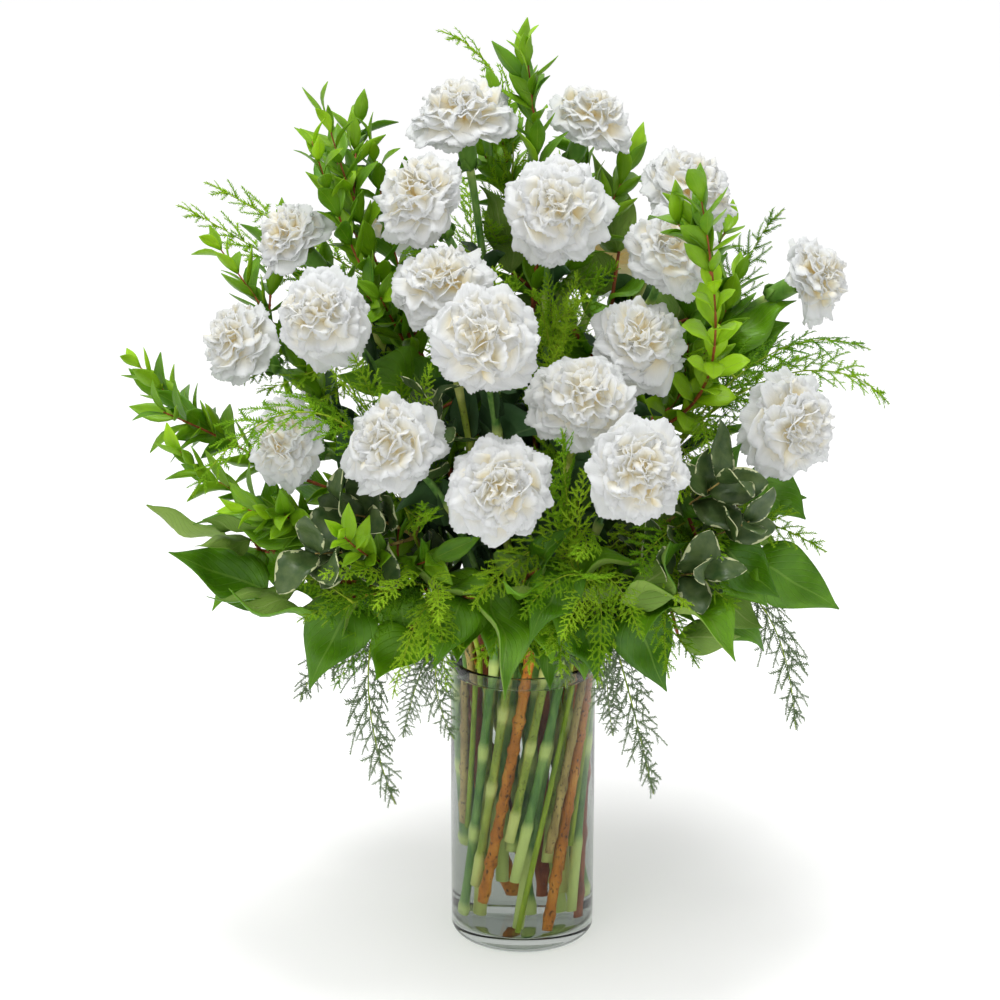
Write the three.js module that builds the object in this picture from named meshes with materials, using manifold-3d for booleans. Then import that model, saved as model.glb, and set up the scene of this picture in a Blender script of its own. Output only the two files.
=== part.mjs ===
// White carnations and mixed greenery standing in a water-filled glass cylinder.
// Millimetres, +Z up. The origin is the middle of the vase's foot; -Y faces the viewer.
import * as THREE from "three";
import { mergeVertices } from "three/addons/utils/BufferGeometryUtils.js";
import Module from "manifold-3d";

const wasm = await Module();
wasm.setup();
const { Manifold, Mesh } = wasm;

// ---- driving dimensions ------------------------------------------------------------------
const GAP = 0.35; // between bodies that touch
const VASE = { radius: 51, height: 206, wall: 3, floor: 10, heel: 5, rim: 1.5, sides: 32 };
const WATER_LEVEL = 196;
const CALYX = { length: 25, neck: 3.6, waist: 6.4, mouth: 6.0 };
const BLOOM_DEPTH = 0.42; // the bloom's seat below its middle, as a share of its radius
const STEM = { carnation: 2.9, myrtle: 3.1, salal: 3.4, pittosporum: 2.8, fern: 1.9 };
const TWIG_STEPS = { myrtle: 5, salal: 2, pittosporum: 4, fern: 9 };
const TWIG = { myrtle: 1.1, salal: 1.3, pittosporum: 1.1, fern: 0.9 };

// The stems stand in three rings where they pass the rim, and lean round as a spiral bundle.
const RINGS = [
  { count: 4, radius: 14 },
  { count: 11, radius: 28 },
  { count: 21, radius: 41 },
];
const TWIST = 62; // degrees that the bundle turns between its feet and the rim
const FOOT_SPREAD = 0.78; // the feet's ring radius as a share of the rim's
const BEND_START = VASE.height + 6; // straight below here, bent above
const FOOT_REST = VASE.floor + 3 * GAP; // the lowest stems' ends, just over the glass

// Carnations: middle of the petals, the way the bloom faces, and its radius.
const BLOOMS = [
  [-42, 10, 580, -0.15, -0.3, 0.95, 37],
  [45, 45, 573, 0.35, -0.3, 0.9, 30],
  [-67, -40, 534, -0.4, -0.5, 0.75, 35],
  [20, -75, 530, 0.05, -0.9, 0.45, 38],
  [112, 30, 528, 0.35, -0.45, 0.82, 36],
  [97, -45, 500, 0.2, -0.7, 0.7, 34],
  [191, -15, 477, 0.75, -0.45, 0.5, 30],
  [-153, 0, 499, -0.55, -0.35, 0.75, 28],
  [-188, -30, 436, -0.6, -0.5, 0.6, 30],
  [-128, -95, 466, -0.3, -0.85, 0.45, 34],
  [-53, -75, 482, -0.1, -0.5, 0.85, 36],
  [-26, -140, 461, 0, -0.9, 0.4, 36],
  [74, -72, 444, 0.25, -0.65, 0.7, 35],
  [35, -118, 418, 0.1, -0.65, 0.75, 34],
  [170, -80, 392, 0.55, -0.8, 0.25, 34],
  [-82, -138, 394, -0.25, -0.8, 0.5, 36],
  [-16, -165, 374, 0, -0.9, 0.4, 36],
  [68, -165, 385, 0.15, -0.9, 0.4, 34],
  [-152, -100, 387, -0.55, -0.7, 0.4, 31],
  [-85, 110, 500, -0.4, 0.6, 0.7, 34],
  [65, 125, 470, 0.3, 0.75, 0.6, 34],
  [-15, 145, 395, -0.05, 0.95, 0.35, 34],
];

// Leafy branches: the top of the main stem, then each sprig's bend points up to its tip.
const SPRIGS = {
  myrtle_1: {
    top: [6, 12, 450],
    sprigs: [
      [[16, 15, 540], [-2, 10, 638]],
      [[10, 70, 500], [-30, 110, 565]],
      [[0, 110, 480], [30, 165, 530]],
      [[60, 40, 500], [80, 75, 556]],
    ],
  },
  myrtle_2: {
    top: [-66, 2, 410],
    sprigs: [
      [[-108, 5, 490], [-134, 2, 595]],
      [[-112, -15, 470], [-141, -25, 579]],
      [[-92, 35, 490], [-105, 32, 573]],
      [[-110, 60, 430], [-150, 80, 480]],
    ],
  },
  myrtle_3: {
    top: [-92, -20, 320],
    sprigs: [
      [[-190, -25, 345], [-235, -30, 395], [-267, -20, 429]],
      [[-165, -55, 320], [-210, -65, 345], [-232, -72, 382]],
      [[-150, 10, 400], [-214, 20, 502]],
      [[-130, -85, 320], [-191, -118, 350]],
      [[-90, -100, 290], [-118, -168, 350]],
    ],
  },
  myrtle_4: {
    top: [84, -20, 370],
    sprigs: [
      [[132, -50, 400], [126, -112, 450], [104, -108, 557]],
      [[130, 0, 420], [146, -2, 487]],
      [[120, 60, 430], [150, 100, 500]],
      [[90, 90, 400], [120, 150, 430]],
    ],
  },
  pittosporum_1: {
    top: [88, -62, 315],
    sprigs: [
      [[110, -90, 345], [134, -125, 374]],
      [[125, -100, 320], [150, -140, 350]],
      [[95, -120, 300], [120, -160, 320]],
    ],
  },
  pittosporum_2: {
    top: [-72, -62, 310],
    sprigs: [
      [[-100, -100, 310], [-146, -146, 325]],
      [[-60, -70, 360], [-60, -95, 425]],
      [[-90, -80, 330], [-122, -124, 345]],
    ],
  },
};

// Large leaves: on each branch, where the blade starts, its tip, and its width.
const LARGE_LEAVES = {
  salal_1: {
    top: [-80, -42, 262],
    leaves: [
      [[-200, -30, 293], [-252, -40, 326], 32],
      [[-172, -52, 270], [-232, -82, 306], 42],
      [[-130, -62, 292], [-212, -62, 322], 44],
      [[-122, -84, 286], [-188, -128, 296], 46],
      [[-112, -92, 278], [-138, -134, 230], 50],
      [[-75, -88, 255], [-100, -125, 222], 44],
      [[-110, 50, 290], [-178, 82, 300], 46],
      [[-90, 75, 270], [-135, 130, 240], 46],
    ],
  },
  salal_2: {
    top: [-8, -66, 268],
    leaves: [
      [[-22, -104, 290], [-13, -146, 228], 46],
      [[30, -112, 296], [2, -166, 272], 42],
      [[8, -120, 306], [-14, -172, 316], 28],
      [[-40, -96, 280], [-62, -142, 236], 40],
      [[40, -92, 262], [48, -140, 222], 42],
    ],
  },
  salal_3: {
    top: [74, -42, 268],
    leaves: [
      [[150, -52, 292], [210, -62, 260], 48],
      [[66, -118, 283], [88, -170, 340], 38],
      [[70, -88, 272], [92, -116, 222], 48],
      [[122, -84, 312], [156, -116, 280], 44],
      [[142, -45, 322], [186, -58, 336], 36],
      [[100, -108, 285], [132, -152, 256], 46],
      [[122, 10, 290], [184, 32, 268], 46],
      [[70, 70, 262], [100, 128, 232], 46],
    ],
  },
  salal_4: {
    top: [56, 40, 400],
    leaves: [
      [[132, 2, 416], [178, -2, 442], 42],
      [[66, 56, 480], [48, 84, 544], 38],
      [[-8, 30, 470], [-30, 26, 530], 36],
      [[112, 20, 440], [140, -12, 476], 34],
      [[30, 105, 400], [44, 165, 425], 44],
      [[-45, 95, 400], [-85, 155, 420], 44],
      [[78, 112, 345], [124, 165, 340], 46],
      [[-10, 85, 280], [-20, 150, 256], 48],
    ],
  },
};

// Feathery fronds: the top of the wiry stem, then each frond's bend points up to its tip.
const FRONDS = {
  fern_1: {
    top: [-40, 60, 430],
    sprigs: [
      [[10, 75, 520], [4, 70, 612], [-59, 45, 632]],
      [[-110, 50, 430], [-190, 46, 490], [-236, 40, 516]],
      [[-100, 78, 450], [-170, 72, 500], [-220, 66, 528]],
      [[-30, 110, 500], [-45, 165, 520]],
      [[-60, 95, 300], [-75, 118, 180]],
      [[10, 95, 280], [34, 120, 186]],
    ],
  },
  fern_2: {
    top: [104, -36, 370],
    sprigs: [
      [[160, -40, 430], [215, -45, 430], [243, -32, 392]],
      [[150, -40, 440], [190, -60, 452], [224, -62, 436]],
      [[150, -75, 340], [196, -92, 308]],
      [[150, -30, 290], [178, -42, 260], [187, -40, 163]],
      [[140, 50, 390], [206, 90, 400]],
      [[140, 40, 430], [150, 60, 490], [178, 42, 512]],
    ],
  },
  fern_3: {
    top: [-66, -66, 290],
    sprigs: [
      [[-112, -85, 280], [-112, -92, 200], [-86, -84, 127]],
      [[-130, -60, 262], [-152, -62, 193]],
      [[-60, -110, 270], [-66, -108, 220], [-46, -98, 180]],
      [[-90, -110, 440], [-150, -160, 440], [-189, -150, 385], [-208, -142, 360]],
      [[-92, -110, 300], [-128, -160, 282]],
      [[-60, -110, 290], [-62, -170, 262]],
    ],
  },
  fern_4: {
    top: [40, -62, 290],
    sprigs: [
      [[58, -80, 262], [74, -70, 190], [89, -62, 125]],
      [[25, -110, 330], [22, -160, 410]],
      [[35, -120, 300], [42, -178, 322]],
      [[20, -110, 285], [22, -168, 250]],
      [[90, -90, 280], [112, -124, 240]],
      [[30, -30, 400], [12, -48, 470], [4, -84, 482]],
    ],
  },
};

// ---- materials ---------------------------------------------------------------------------
const finish = (color, roughness, extra = {}) =>
  new THREE.MeshStandardMaterial({ color, roughness, metalness: 0, ...extra });
const MATERIALS = {
  glass: () => finish(0xdfe8e8, 0.03, { transparent: true, opacity: 0.3 }),
  water: () => finish(0xe9f1ee, 0.02, { transparent: true, opacity: 0.3 }),
  petal: () => finish(0xf7f5ee, 0.75),
  carnation: () => finish(0x6f9468, 0.6),
  myrtle: () => finish(0x4f8a2a, 0.45),
  salal: () => finish(0x3f7d2c, 0.38),
  pittosporum: () => finish(0x8fa67a, 0.5),
  fern: () => finish(0x5a9a3c, 0.65),
};

// ---- small helpers -----------------------------------------------------------------------
const vec = (x, y, z) => new THREE.Vector3(x, y, z);
const toVec = (p) => vec(...p);
const mix = (a, b, t) => a.clone().lerp(b, t);
const lift = (p, direction, amount) => p.clone().addScaledVector(direction, amount);
const radians = (degrees) => (degrees * Math.PI) / 180;

// A repeatable draw between 0 and 1.
let seed = 1;
function draw() {
  seed = (seed * 16807) % 2147483647;
  return seed / 2147483647;
}

// Points along the Bezier curve that the control points pull.
function bend(controls, steps) {
  const points = [];
  for (let i = 0; i <= steps; i++) {
    let layer = controls.map((p) => p.clone());
    while (layer.length > 1) {
      layer = layer.slice(1).map((p, k) => mix(layer[k], p, i / steps));
    }
    points.push(layer[0]);
  }
  return points;
}

// The point a share of the way along, counted by steps.
function pointAt(points, share) {
  const place = share * (points.length - 1);
  const i = Math.min(Math.floor(place), points.length - 2);
  return mix(points[i], points[i + 1], place - i);
}

function tangent(points, i) {
  const last = points.length - 1;
  return points[Math.min(i + 1, last)].clone().sub(points[Math.max(i - 1, 0)]).normalize();
}

// Any direction square to the given one.
function sideways(direction) {
  const helper = Math.abs(direction.z) > 0.9 ? vec(1, 0, 0) : vec(0, 0, 1);
  return direction.clone().cross(helper).normalize();
}

function solid(points, faces) {
  const vertProperties = new Float32Array(points.flatMap((p) => [p.x, p.y, p.z]));
  const triVerts = new Uint32Array(faces.flat());
  return new Manifold(new Mesh({ numProp: 3, vertProperties, triVerts }));
}

function solidOf(geometry) {
  const bare = geometry.clone();
  bare.deleteAttribute("normal");
  bare.deleteAttribute("uv");
  const merged = mergeVertices(bare, 1e-4);
  const vertProperties = new Float32Array(merged.attributes.position.array);
  const triVerts = new Uint32Array(merged.index.array);
  return new Manifold(new Mesh({ numProp: 3, vertProperties, triVerts }));
}

// A closed skin over rings of equal size, with a point at each end. A flat skin's rings hold
// left, top, right and bottom, and its upper and lower faces are split alike. A shoot grows out
// of the face after ring r and corner k: a ring of four points and a tip, or a tip alone.
function skin(rings, first, last, { flat = false, shoots = [] } = {}) {
  const n = rings[0].length;
  const points = [first, ...rings.flat(), last];
  const faces = [];
  const at = (ring, k) => 1 + ring * n + (k % n);
  for (let k = 0; k < n; k++) {
    faces.push([0, at(0, k + 1), at(0, k)]);
    for (let r = 0; r + 1 < rings.length; r++) {
      const [a, b, c, d] = [at(r, k), at(r, k + 1), at(r + 1, k + 1), at(r + 1, k)];
      const shoot = shoots.find((item) => item.r === r && item.k === k);
      if (shoot) sprout([a, b, c, d], shoot, points, faces);
      else if (flat && k % 2 === 0) faces.push([a, b, d], [b, c, d]);
      else faces.push([a, b, c], [a, c, d]);
    }
    faces.push([at(rings.length - 1, k), at(rings.length - 1, k + 1), 1 + rings.length * n]);
  }
  return solid(points, faces);
}

function sprout(root, shoot, points, faces) {
  let base = root;
  if (shoot.ring) {
    const start = points.push(...shoot.ring) - 4;
    base = [0, 1, 2, 3].map((k) => start + k);
    for (let k = 0; k < 4; k++) {
      const next = (k + 1) % 4;
      faces.push([root[k], root[next], base[next]], [root[k], base[next], base[k]]);
    }
  }
  const tip = points.push(shoot.tip) - 1;
  base.forEach((corner, k) => faces.push([corner, base[(k + 1) % 4], tip]));
}

// Rings round the points, each with its own radius, turned as little as can be along the way:
// from the first point on, or back from the last where its direction across is given.
function rodRings(points, radii, sides, lastAcross) {
  const order = points.map((_, i) => i);
  if (lastAcross) order.reverse();
  const rings = [];
  let across = lastAcross ?? sideways(tangent(points, 0));
  for (const i of order) {
    const ahead = tangent(points, i);
    across = across.clone().addScaledVector(ahead, -across.dot(ahead)).normalize();
    const up = ahead.clone().cross(across);
    rings[i] = [];
    for (let k = 0; k < sides; k++) {
      const turn = (2 * Math.PI * k) / sides;
      const out = lift(points[i], across, Math.cos(turn) * radii[i]);
      rings[i].push(lift(out, up, Math.sin(turn) * radii[i]));
    }
  }
  return rings;
}

const rod = (points, radii, sides) =>
  skin(rodRings(points, radii, sides), points[0].clone(), points[points.length - 1].clone());

// ---- keeping stems clear of each other ---------------------------------------------------
// Each obstacle is a string of points with a radius, and the body that it belongs to.
const obstacles = [];

function between(p1, q1, p2, q2) {
  const d1 = q1.clone().sub(p1);
  const d2 = q2.clone().sub(p2);
  const r = p1.clone().sub(p2);
  const a = d1.dot(d1);
  const e = d2.dot(d2);
  const b = d1.dot(d2);
  const c = d1.dot(r);
  const f = d2.dot(r);
  const denominator = a * e - b * b;
  let s = denominator > 1e-9 ? THREE.MathUtils.clamp((b * f - c * e) / denominator, 0, 1) : 0;
  let t = e > 1e-9 ? (b * s + f) / e : 0;
  if (t < 0 || t > 1) {
    t = THREE.MathUtils.clamp(t, 0, 1);
    s = a > 1e-9 ? THREE.MathUtils.clamp((b * t - c) / a, 0, 1) : 0;
  }
  return lift(p1, d1, s).distanceTo(lift(p2, d2, t));
}

function isClear(points, radius, body) {
  const box = new THREE.Box3().setFromPoints(points).expandByScalar(radius + 1);
  for (const other of obstacles) {
    if (other.body === body || !box.intersectsBox(other.box)) continue;
    const room = radius + other.radius + 0.8;
    for (let i = 1; i < points.length; i++) {
      for (let k = 1; k < other.points.length; k++) {
        const gap = between(points[i - 1], points[i], other.points[k - 1], other.points[k]);
        if (gap < room) return false;
      }
    }
  }
  return true;
}

function claim(points, radius, body) {
  const box = new THREE.Box3().setFromPoints(points).expandByScalar(radius + 1);
  obstacles.push({ points, radius, body, box });
}

// The first curve, of a widening spiral of bends, that is clear of all the other bodies.
function thread(controls, steps, radius, body, startAt = () => controls[0]) {
  for (let k = 0; k < 120; k++) {
    const reach = 2.4 * Math.sqrt(k);
    const shift = vec(Math.cos(k * 2.4) * reach, Math.sin(k * 2.4) * reach, 0);
    const moved = [startAt(k), ...controls.slice(1)].map((p, i) => {
      const held = i === 0 || i === controls.length - 1;
      return held ? p.clone() : p.clone().add(shift);
    });
    const points = bend(moved, steps);
    if (isClear(points, radius, body)) {
      claim(points, radius, body);
      return points;
    }
  }
  return null;
}

// ---- places in the vase ------------------------------------------------------------------
const bloomSeat = ([x, y, z, fx, fy, fz, radius]) => {
  const facing = vec(fx, fy, fz).normalize();
  const middle = vec(x, y, z);
  return { middle, facing, radius, seat: lift(middle, facing, -BLOOM_DEPTH * radius) };
};

const bodies = [];
BLOOMS.forEach((row, i) => {
  const bloom = bloomSeat(row);
  const end = lift(bloom.seat, bloom.facing, -GAP - CALYX.length);
  const name = String(i + 1).padStart(2, "0");
  bodies.push({ name: "stem_" + name, kind: "carnation", end, bloom, order: i });
});
for (const table of [SPRIGS, LARGE_LEAVES, FRONDS]) {
  for (const [name, branch] of Object.entries(table)) {
    bodies.push({ name, kind: name.split("_")[0], end: toVec(branch.top), branch });
  }
}

// The more a body leans out, the further out its ring; round each ring they keep their order.
const RIM_MIDDLE = vec(0, 0, VASE.height);
function giveSlots() {
  for (const body of bodies) {
    const out = body.end.clone().sub(RIM_MIDDLE);
    body.lean = Math.hypot(out.x, out.y) / out.z;
    body.azimuth = (Math.atan2(out.y, out.x) + 2 * Math.PI) % (2 * Math.PI);
  }
  const byLean = [...bodies].sort((a, b) => a.lean - b.lean);
  let used = 0;
  for (const ring of RINGS) {
    const members = byLean.slice(used, used + ring.count);
    members.sort((a, b) => a.azimuth - b.azimuth);
    const step = (2 * Math.PI) / ring.count;
    const phase = members.reduce((sum, m, i) => sum + m.azimuth - i * step, 0) / ring.count;
    members.forEach((member, i) => {
      const turn = phase + i * step;
      const foot = turn - radians(TWIST);
      const spread = ring.radius * FOOT_SPREAD;
      member.rim = vec(Math.cos(turn) * ring.radius, Math.sin(turn) * ring.radius, BEND_START);
      member.foot = vec(Math.cos(foot) * spread, Math.sin(foot) * spread, FOOT_REST);
    });
    used += ring.count;
  }
}
giveSlots();

// How far above the floor each stem is cut: a few reach the floor.
bodies.forEach((body, i) => {
  const share = i % 5 === 0 ? 0 : 0.04 + 0.05 * (i % 7);
  body.foot = mix(body.foot, body.rim, share);
});

// ---- stems ------------------------------------------------------------------------------
const rimLine = Array.from({ length: 25 }, (_, i) => {
  const turn = (2 * Math.PI * i) / 24;
  const reach = VASE.radius - VASE.wall / 2;
  return vec(Math.cos(turn) * reach, Math.sin(turn) * reach, VASE.height - VASE.rim);
});
claim(rimLine, VASE.wall / 2 + 0.4, "vase");

const claimBloom = (bloom, body) => {
  const low = lift(bloom.middle, bloom.facing, -0.1 * bloom.radius);
  const high = lift(bloom.middle, bloom.facing, 0.1 * bloom.radius);
  claim([low, high], bloom.radius * 0.98, body);
};
for (const body of bodies) {
  claim([body.foot, body.rim], STEM[body.kind], body.name);
  if (!body.bloom) continue;
  claimBloom(body.bloom, body.name);
  const base = lift(body.end, body.bloom.facing, 2);
  claim([base, body.bloom.seat], CALYX.waist, body.name);
}

for (const body of bodies) {
  const rise = body.rim.clone().sub(body.foot).normalize();
  const reach = body.end.distanceTo(body.rim);
  const arrive = body.bloom ? body.bloom.facing : body.end.clone().sub(body.rim).normalize();
  const controls = [
    body.rim,
    lift(body.rim, rise, reach * 0.35),
    lift(body.end, arrive, -reach * 0.35),
    body.end,
  ];
  body.free = thread(controls, 6, STEM[body.kind], body.name) ?? bend(controls, 6);
}

// ---- flat leaves and fronds ---------------------------------------------------------------
const OVATE = [0.0, 0.62, 1.0, 0.86, 0.48, 0.0];

// The rings of a leaf blade, thickest at its midrib: arched along it, and folded up beside it.
function bladeRings(base, tip, facing, width, outline, { arch = 0.1, fold = 0.12, thick = 1.1 }) {
  const along = tip.clone().sub(base);
  const length = along.length();
  along.normalize();
  const across = along.clone().cross(facing).normalize();
  const normal = across.clone().cross(along).normalize();
  const last = outline.length - 1;
  const rings = [];
  for (let i = 1; i < last; i++) {
    const t = i / last;
    const spine = lift(mix(base, tip, t), normal, arch * length * 4 * t * (1 - t));
    const half = (outline[i] * width) / 2;
    const raised = lift(spine, normal, fold * half * 2);
    rings.push([
      lift(raised, across, -half),
      lift(spine, normal, thick / 2),
      lift(raised, across, half),
      lift(spine, normal, -thick / 2),
    ]);
  }
  return { rings, across };
}

// A twig that widens into one large leaf.
function stalkedLeaf(twig, tip, facing, width, outline, form) {
  const base = twig[twig.length - 1];
  const { rings, across } = bladeRings(base, tip, facing, width, outline, form);
  const stalk = rodRings(twig, taper(twig, TWIG.salal * 1.3, 0.8), 4, across.negate());
  return skin([...stalk, ...rings], twig[0].clone(), tip.clone(), { flat: true });
}

// A flat spike over the edge from a to b.
function spike(a, b, tip, normal, thick) {
  const points = [lift(a, normal, thick), lift(b, normal, thick), lift(b, normal, -thick)];
  points.push(lift(a, normal, -thick), tip);
  return solid(points, [[0, 1, 2], [0, 2, 3], [0, 4, 1], [1, 4, 2], [2, 4, 3], [3, 4, 0]]);
}

// A frond: a four-sided rib, bare at its foot, then a pointed leaflet to each side of each step,
// as long as there is room for.
function frond(name, points, facing, bare) {
  const n = points.length - 1;
  const rows = points.map((p, i) => {
    const ahead = tangent(points, i);
    const across = ahead.clone().cross(facing).normalize();
    return { p, across, normal: across.clone().cross(ahead).normalize() };
  });
  const verts = [];
  const faces = [];
  rows.forEach((row, i) => {
    const half = TWIG.fern * (1.15 - (0.5 * i) / n);
    verts.push(lift(row.p, row.across, -half), lift(row.p, row.normal, half));
    verts.push(lift(row.p, row.across, half), lift(row.p, row.normal, -half));
  });
  let leaflets = 0;
  for (let i = 0; i < n; i++) {
    const row = rows[i];
    const next = rows[i + 1].p;
    const share = (i - bare) / (n - bare);
    const full = FROND.reach * Math.max(0.35, Math.sin(Math.PI * (0.2 + 0.8 * share) ** 0.8));
    const a = 4 * i;
    const b = a + 4;
    for (const side of [-1, 1]) {
      const [edge, top, under] = side < 0 ? [0, 1, 3] : [2, 1, 3];
      const tipAt = (length) =>
        lift(lift(mix(row.p, next, 0.95), row.across, side * length), row.normal, -length * 0.12);
      const ends = i < bare ? [] : [1, 0.72, 0.5].map((part) => tipAt(full * part));
      const tip = ends.find((end) => hasRoom(name, spike(row.p, next, end, row.normal, side * 0.6)));
      let fan = [
        [a + top, a + edge, b + edge],
        [a + top, b + edge, b + top],
        [a + under, b + edge, a + edge],
        [a + under, b + under, b + edge],
      ];
      if (tip) {
        leaflets++;
        const at = verts.push(tip) - 1;
        fan = [
          [a + top, a + edge, at],
          [a + top, at, b + top],
          [b + top, at, b + edge],
          [a + under, at, a + edge],
          [a + under, b + under, at],
          [b + under, b + edge, at],
        ];
      }
      fan.forEach(([p, q, r]) => faces.push(side < 0 ? [p, r, q] : [p, q, r]));
    }
  }
  const end = 4 * n;
  faces.push([0, 2, 1], [0, 3, 2], [end, end + 1, end + 2], [end, end + 2, end + 3]);
  return { shape: solid(verts, faces), share: leaflets / (2 * (n - bare)) };
}

// ---- blooms ------------------------------------------------------------------------------
// Rings from the seat up: share of the radius, height, how deep its petals are notched.
const BLOOM_RINGS = [
  { reach: 0.15, rise: -BLOOM_DEPTH, ruffle: 0 },
  { reach: 1.0, rise: -0.08, ruffle: 1, turn: 0 },
  { reach: 0.6, rise: 0.0, ruffle: 0 },
  { reach: 0.8, rise: 0.2, ruffle: 1, turn: 1 },
  { reach: 0.4, rise: 0.16, ruffle: 0 },
  { reach: 0.52, rise: 0.4, ruffle: 1, turn: 2 },
];
const PETALS = 5;
const PETAL_EDGE = [0.74, 1.0, 0.96]; // notch and two teeth
const PETAL_WAVE = [-0.02, 0.06, -0.04];

function petals(bloom, index) {
  seed = 7001 + index * 97;
  const { middle, facing, radius } = bloom;
  const across = sideways(facing);
  const up = facing.clone().cross(across);
  const count = PETALS * PETAL_EDGE.length;
  const start = draw() * 2 * Math.PI;
  const rings = BLOOM_RINGS.map((ring) =>
    Array.from({ length: count }, (_, k) => {
      const tooth = (k + (ring.turn ?? 0)) % PETAL_EDGE.length;
      const rough = draw();
      const edge = ring.ruffle ? PETAL_EDGE[tooth] * (0.93 + 0.1 * rough) : 1;
      const wave = ring.ruffle ? PETAL_WAVE[tooth] + 0.06 * (draw() - 0.5) : 0;
      const turn = start + (2 * Math.PI * k) / count;
      const reach = ring.reach * edge * radius;
      const seat = lift(middle, facing, (ring.rise + wave) * radius);
      return lift(lift(seat, across, Math.cos(turn) * reach), up, Math.sin(turn) * reach);
    }),
  );
  const crown = lift(middle, facing, 0.32 * radius);
  return skin(rings, bloom.seat.clone(), crown);
}

// ---- placing leaves clear of the other bodies ----------------------------------------------
const placed = []; // every solid so far: { name, shape, box }

function boxOf(shape) {
  const box = shape.boundingBox();
  return new THREE.Box3(toVec(box.min), toVec(box.max));
}

function put(name, shape) {
  placed.push({ name, shape, box: boxOf(shape) });
  return shape;
}

function hasRoom(name, shape) {
  const box = boxOf(shape).expandByScalar(0.5);
  if (box.min.z < VASE.height + 1 && Math.hypot(box.min.x, box.min.y) < 20) return false;
  return placed.every((other) => {
    if (other.name === name || !box.intersectsBox(other.box)) return true;
    return shape.minGap(other.shape, 0.5) > GAP - 0.03;
  });
}

// Swings that a leaf may take about its foot to find room, in degrees.
const SWINGS = [[0, 0], [14, 0], [-14, 0], [0, 16], [0, -16], [26, 12], [-26, 12], [30, -20], [-30, -20]];

// The first swing of a leaf that has room, as its tip and its scale.
function findRoom(name, base, tip, facing, make) {
  for (const scale of [1, 0.8]) {
    for (const [turn, tilt] of SWINGS) {
      const along = tip.clone().sub(base).multiplyScalar(scale);
      along.applyAxisAngle(facing, radians(turn));
      const side = along.clone().cross(facing).normalize();
      along.applyAxisAngle(side, radians(tilt));
      const swung = base.clone().add(along);
      const shape = make(base, swung, facing, scale);
      if (hasRoom(name, shape)) return { tip: swung, scale, shape: put(name, shape) };
    }
  }
  return null;
}

// The point of a branch's stem from which a sprig leaves to reach its first bend.
function offshoot(body, target, raise) {
  const stem = body.free;
  const aside = Math.hypot(target.x - body.end.x, target.y - body.end.y);
  const ideal = target.z - 0.5 * aside + raise;
  const height = THREE.MathUtils.clamp(ideal, VASE.height + 22 + raise, body.end.z);
  for (let i = 1; i < stem.length; i++) {
    if (stem[i].z >= height) {
      const t = (height - stem[i - 1].z) / (stem[i].z - stem[i - 1].z);
      return mix(stem[i - 1], stem[i], THREE.MathUtils.clamp(t, 0, 1));
    }
  }
  return stem[stem.length - 1].clone();
}

const taper = (points, from, to) => points.map((_, i) => from + ((to - from) * i) / (points.length - 1));

// ---- building the bodies -----------------------------------------------------------------
const pieces = new Map(bodies.map((body) => [body.name, []]));
const model = new THREE.Group();
const blooms = [];

for (const body of bodies) {
  const radius = STEM[body.kind];
  const stem = [body.foot, ...body.free];
  const radii = taper(stem, radius, body.bloom ? radius * 0.9 : TWIG[body.kind] * 1.4);
  radii[0] = radius;
  if (body.bloom) {
    const { facing } = body.bloom;
    const rise = [0.35, 1];
    rise.forEach((share) => stem.push(lift(body.end, facing, share * CALYX.length)));
    radii[radii.length - 1] = CALYX.neck;
    radii.push(CALYX.waist, CALYX.mouth);
    blooms.push({ name: body.name.replace("stem", "bloom"), shape: petals(body.bloom, body.order) });
  }
  pieces.get(body.name).push(put(body.name, rod(stem, radii, 5)));
}
blooms.forEach(({ name, shape }) => put(name, shape));

// Twigs first, so that every leaf can find room among them.
for (const body of bodies) {
  if (!body.branch) continue;
  const routes = body.branch.sprigs ?? body.branch.leaves.map(([base]) => [base]);
  body.twigs = routes.map((route, i) => {
    const targets = route.map(toVec);
    const startAt = (k) => (i === 0 ? body.end.clone() : offshoot(body, targets[0], 9 * (k % 8)));
    const start = startAt(0);
    const controls = [start, ...targets];
    if (controls.length === 2) {
      const bow = mix(start, targets[0], 0.5);
      bow.z += 0.12 * start.distanceTo(targets[0]);
      controls.splice(1, 0, bow);
    }
    const steps = TWIG_STEPS[body.kind];
    const twig = thread(controls, steps, TWIG[body.kind] + 1.2, body.name, startAt);
    if (twig) put(body.name, rod(twig, taper(twig, 1.5, 1.2), 4));
    return twig;
  });
}

// Leaves in crossed pairs along the upper part of each sprig.
const SMALL_LEAF = {
  myrtle: { length: 25, width: 9.5, pairs: 4, from: 0.3, lean: 42 },
  pittosporum: { length: 27, width: 14, pairs: 3, from: 0.35, lean: 55 },
};
const LEAF_FOOT = 0.028; // the share of a sprig that a leaf's foot takes
const LEAF_EDGE = 0.9; // the thickness of a small leaf at its widest
const LEAF_ARCH = 0.1; // how far a small leaf's middle rises, as a share of its length

// The four corners of a small leaf where it is widest, in the order of the face it grows from.
function leafRing(foot, tip, facing, width) {
  const along = tip.clone().sub(foot);
  const middle = lift(mix(foot, tip, 0.5), facing, LEAF_ARCH * along.length());
  const across = along.normalize().cross(facing).normalize();
  const corner = (side, face) =>
    lift(lift(middle, across, (side * width) / 2), facing, (face * LEAF_EDGE) / 2);
  return [corner(1, -1), corner(-1, -1), corner(-1, 1), corner(1, 1)];
}

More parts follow.
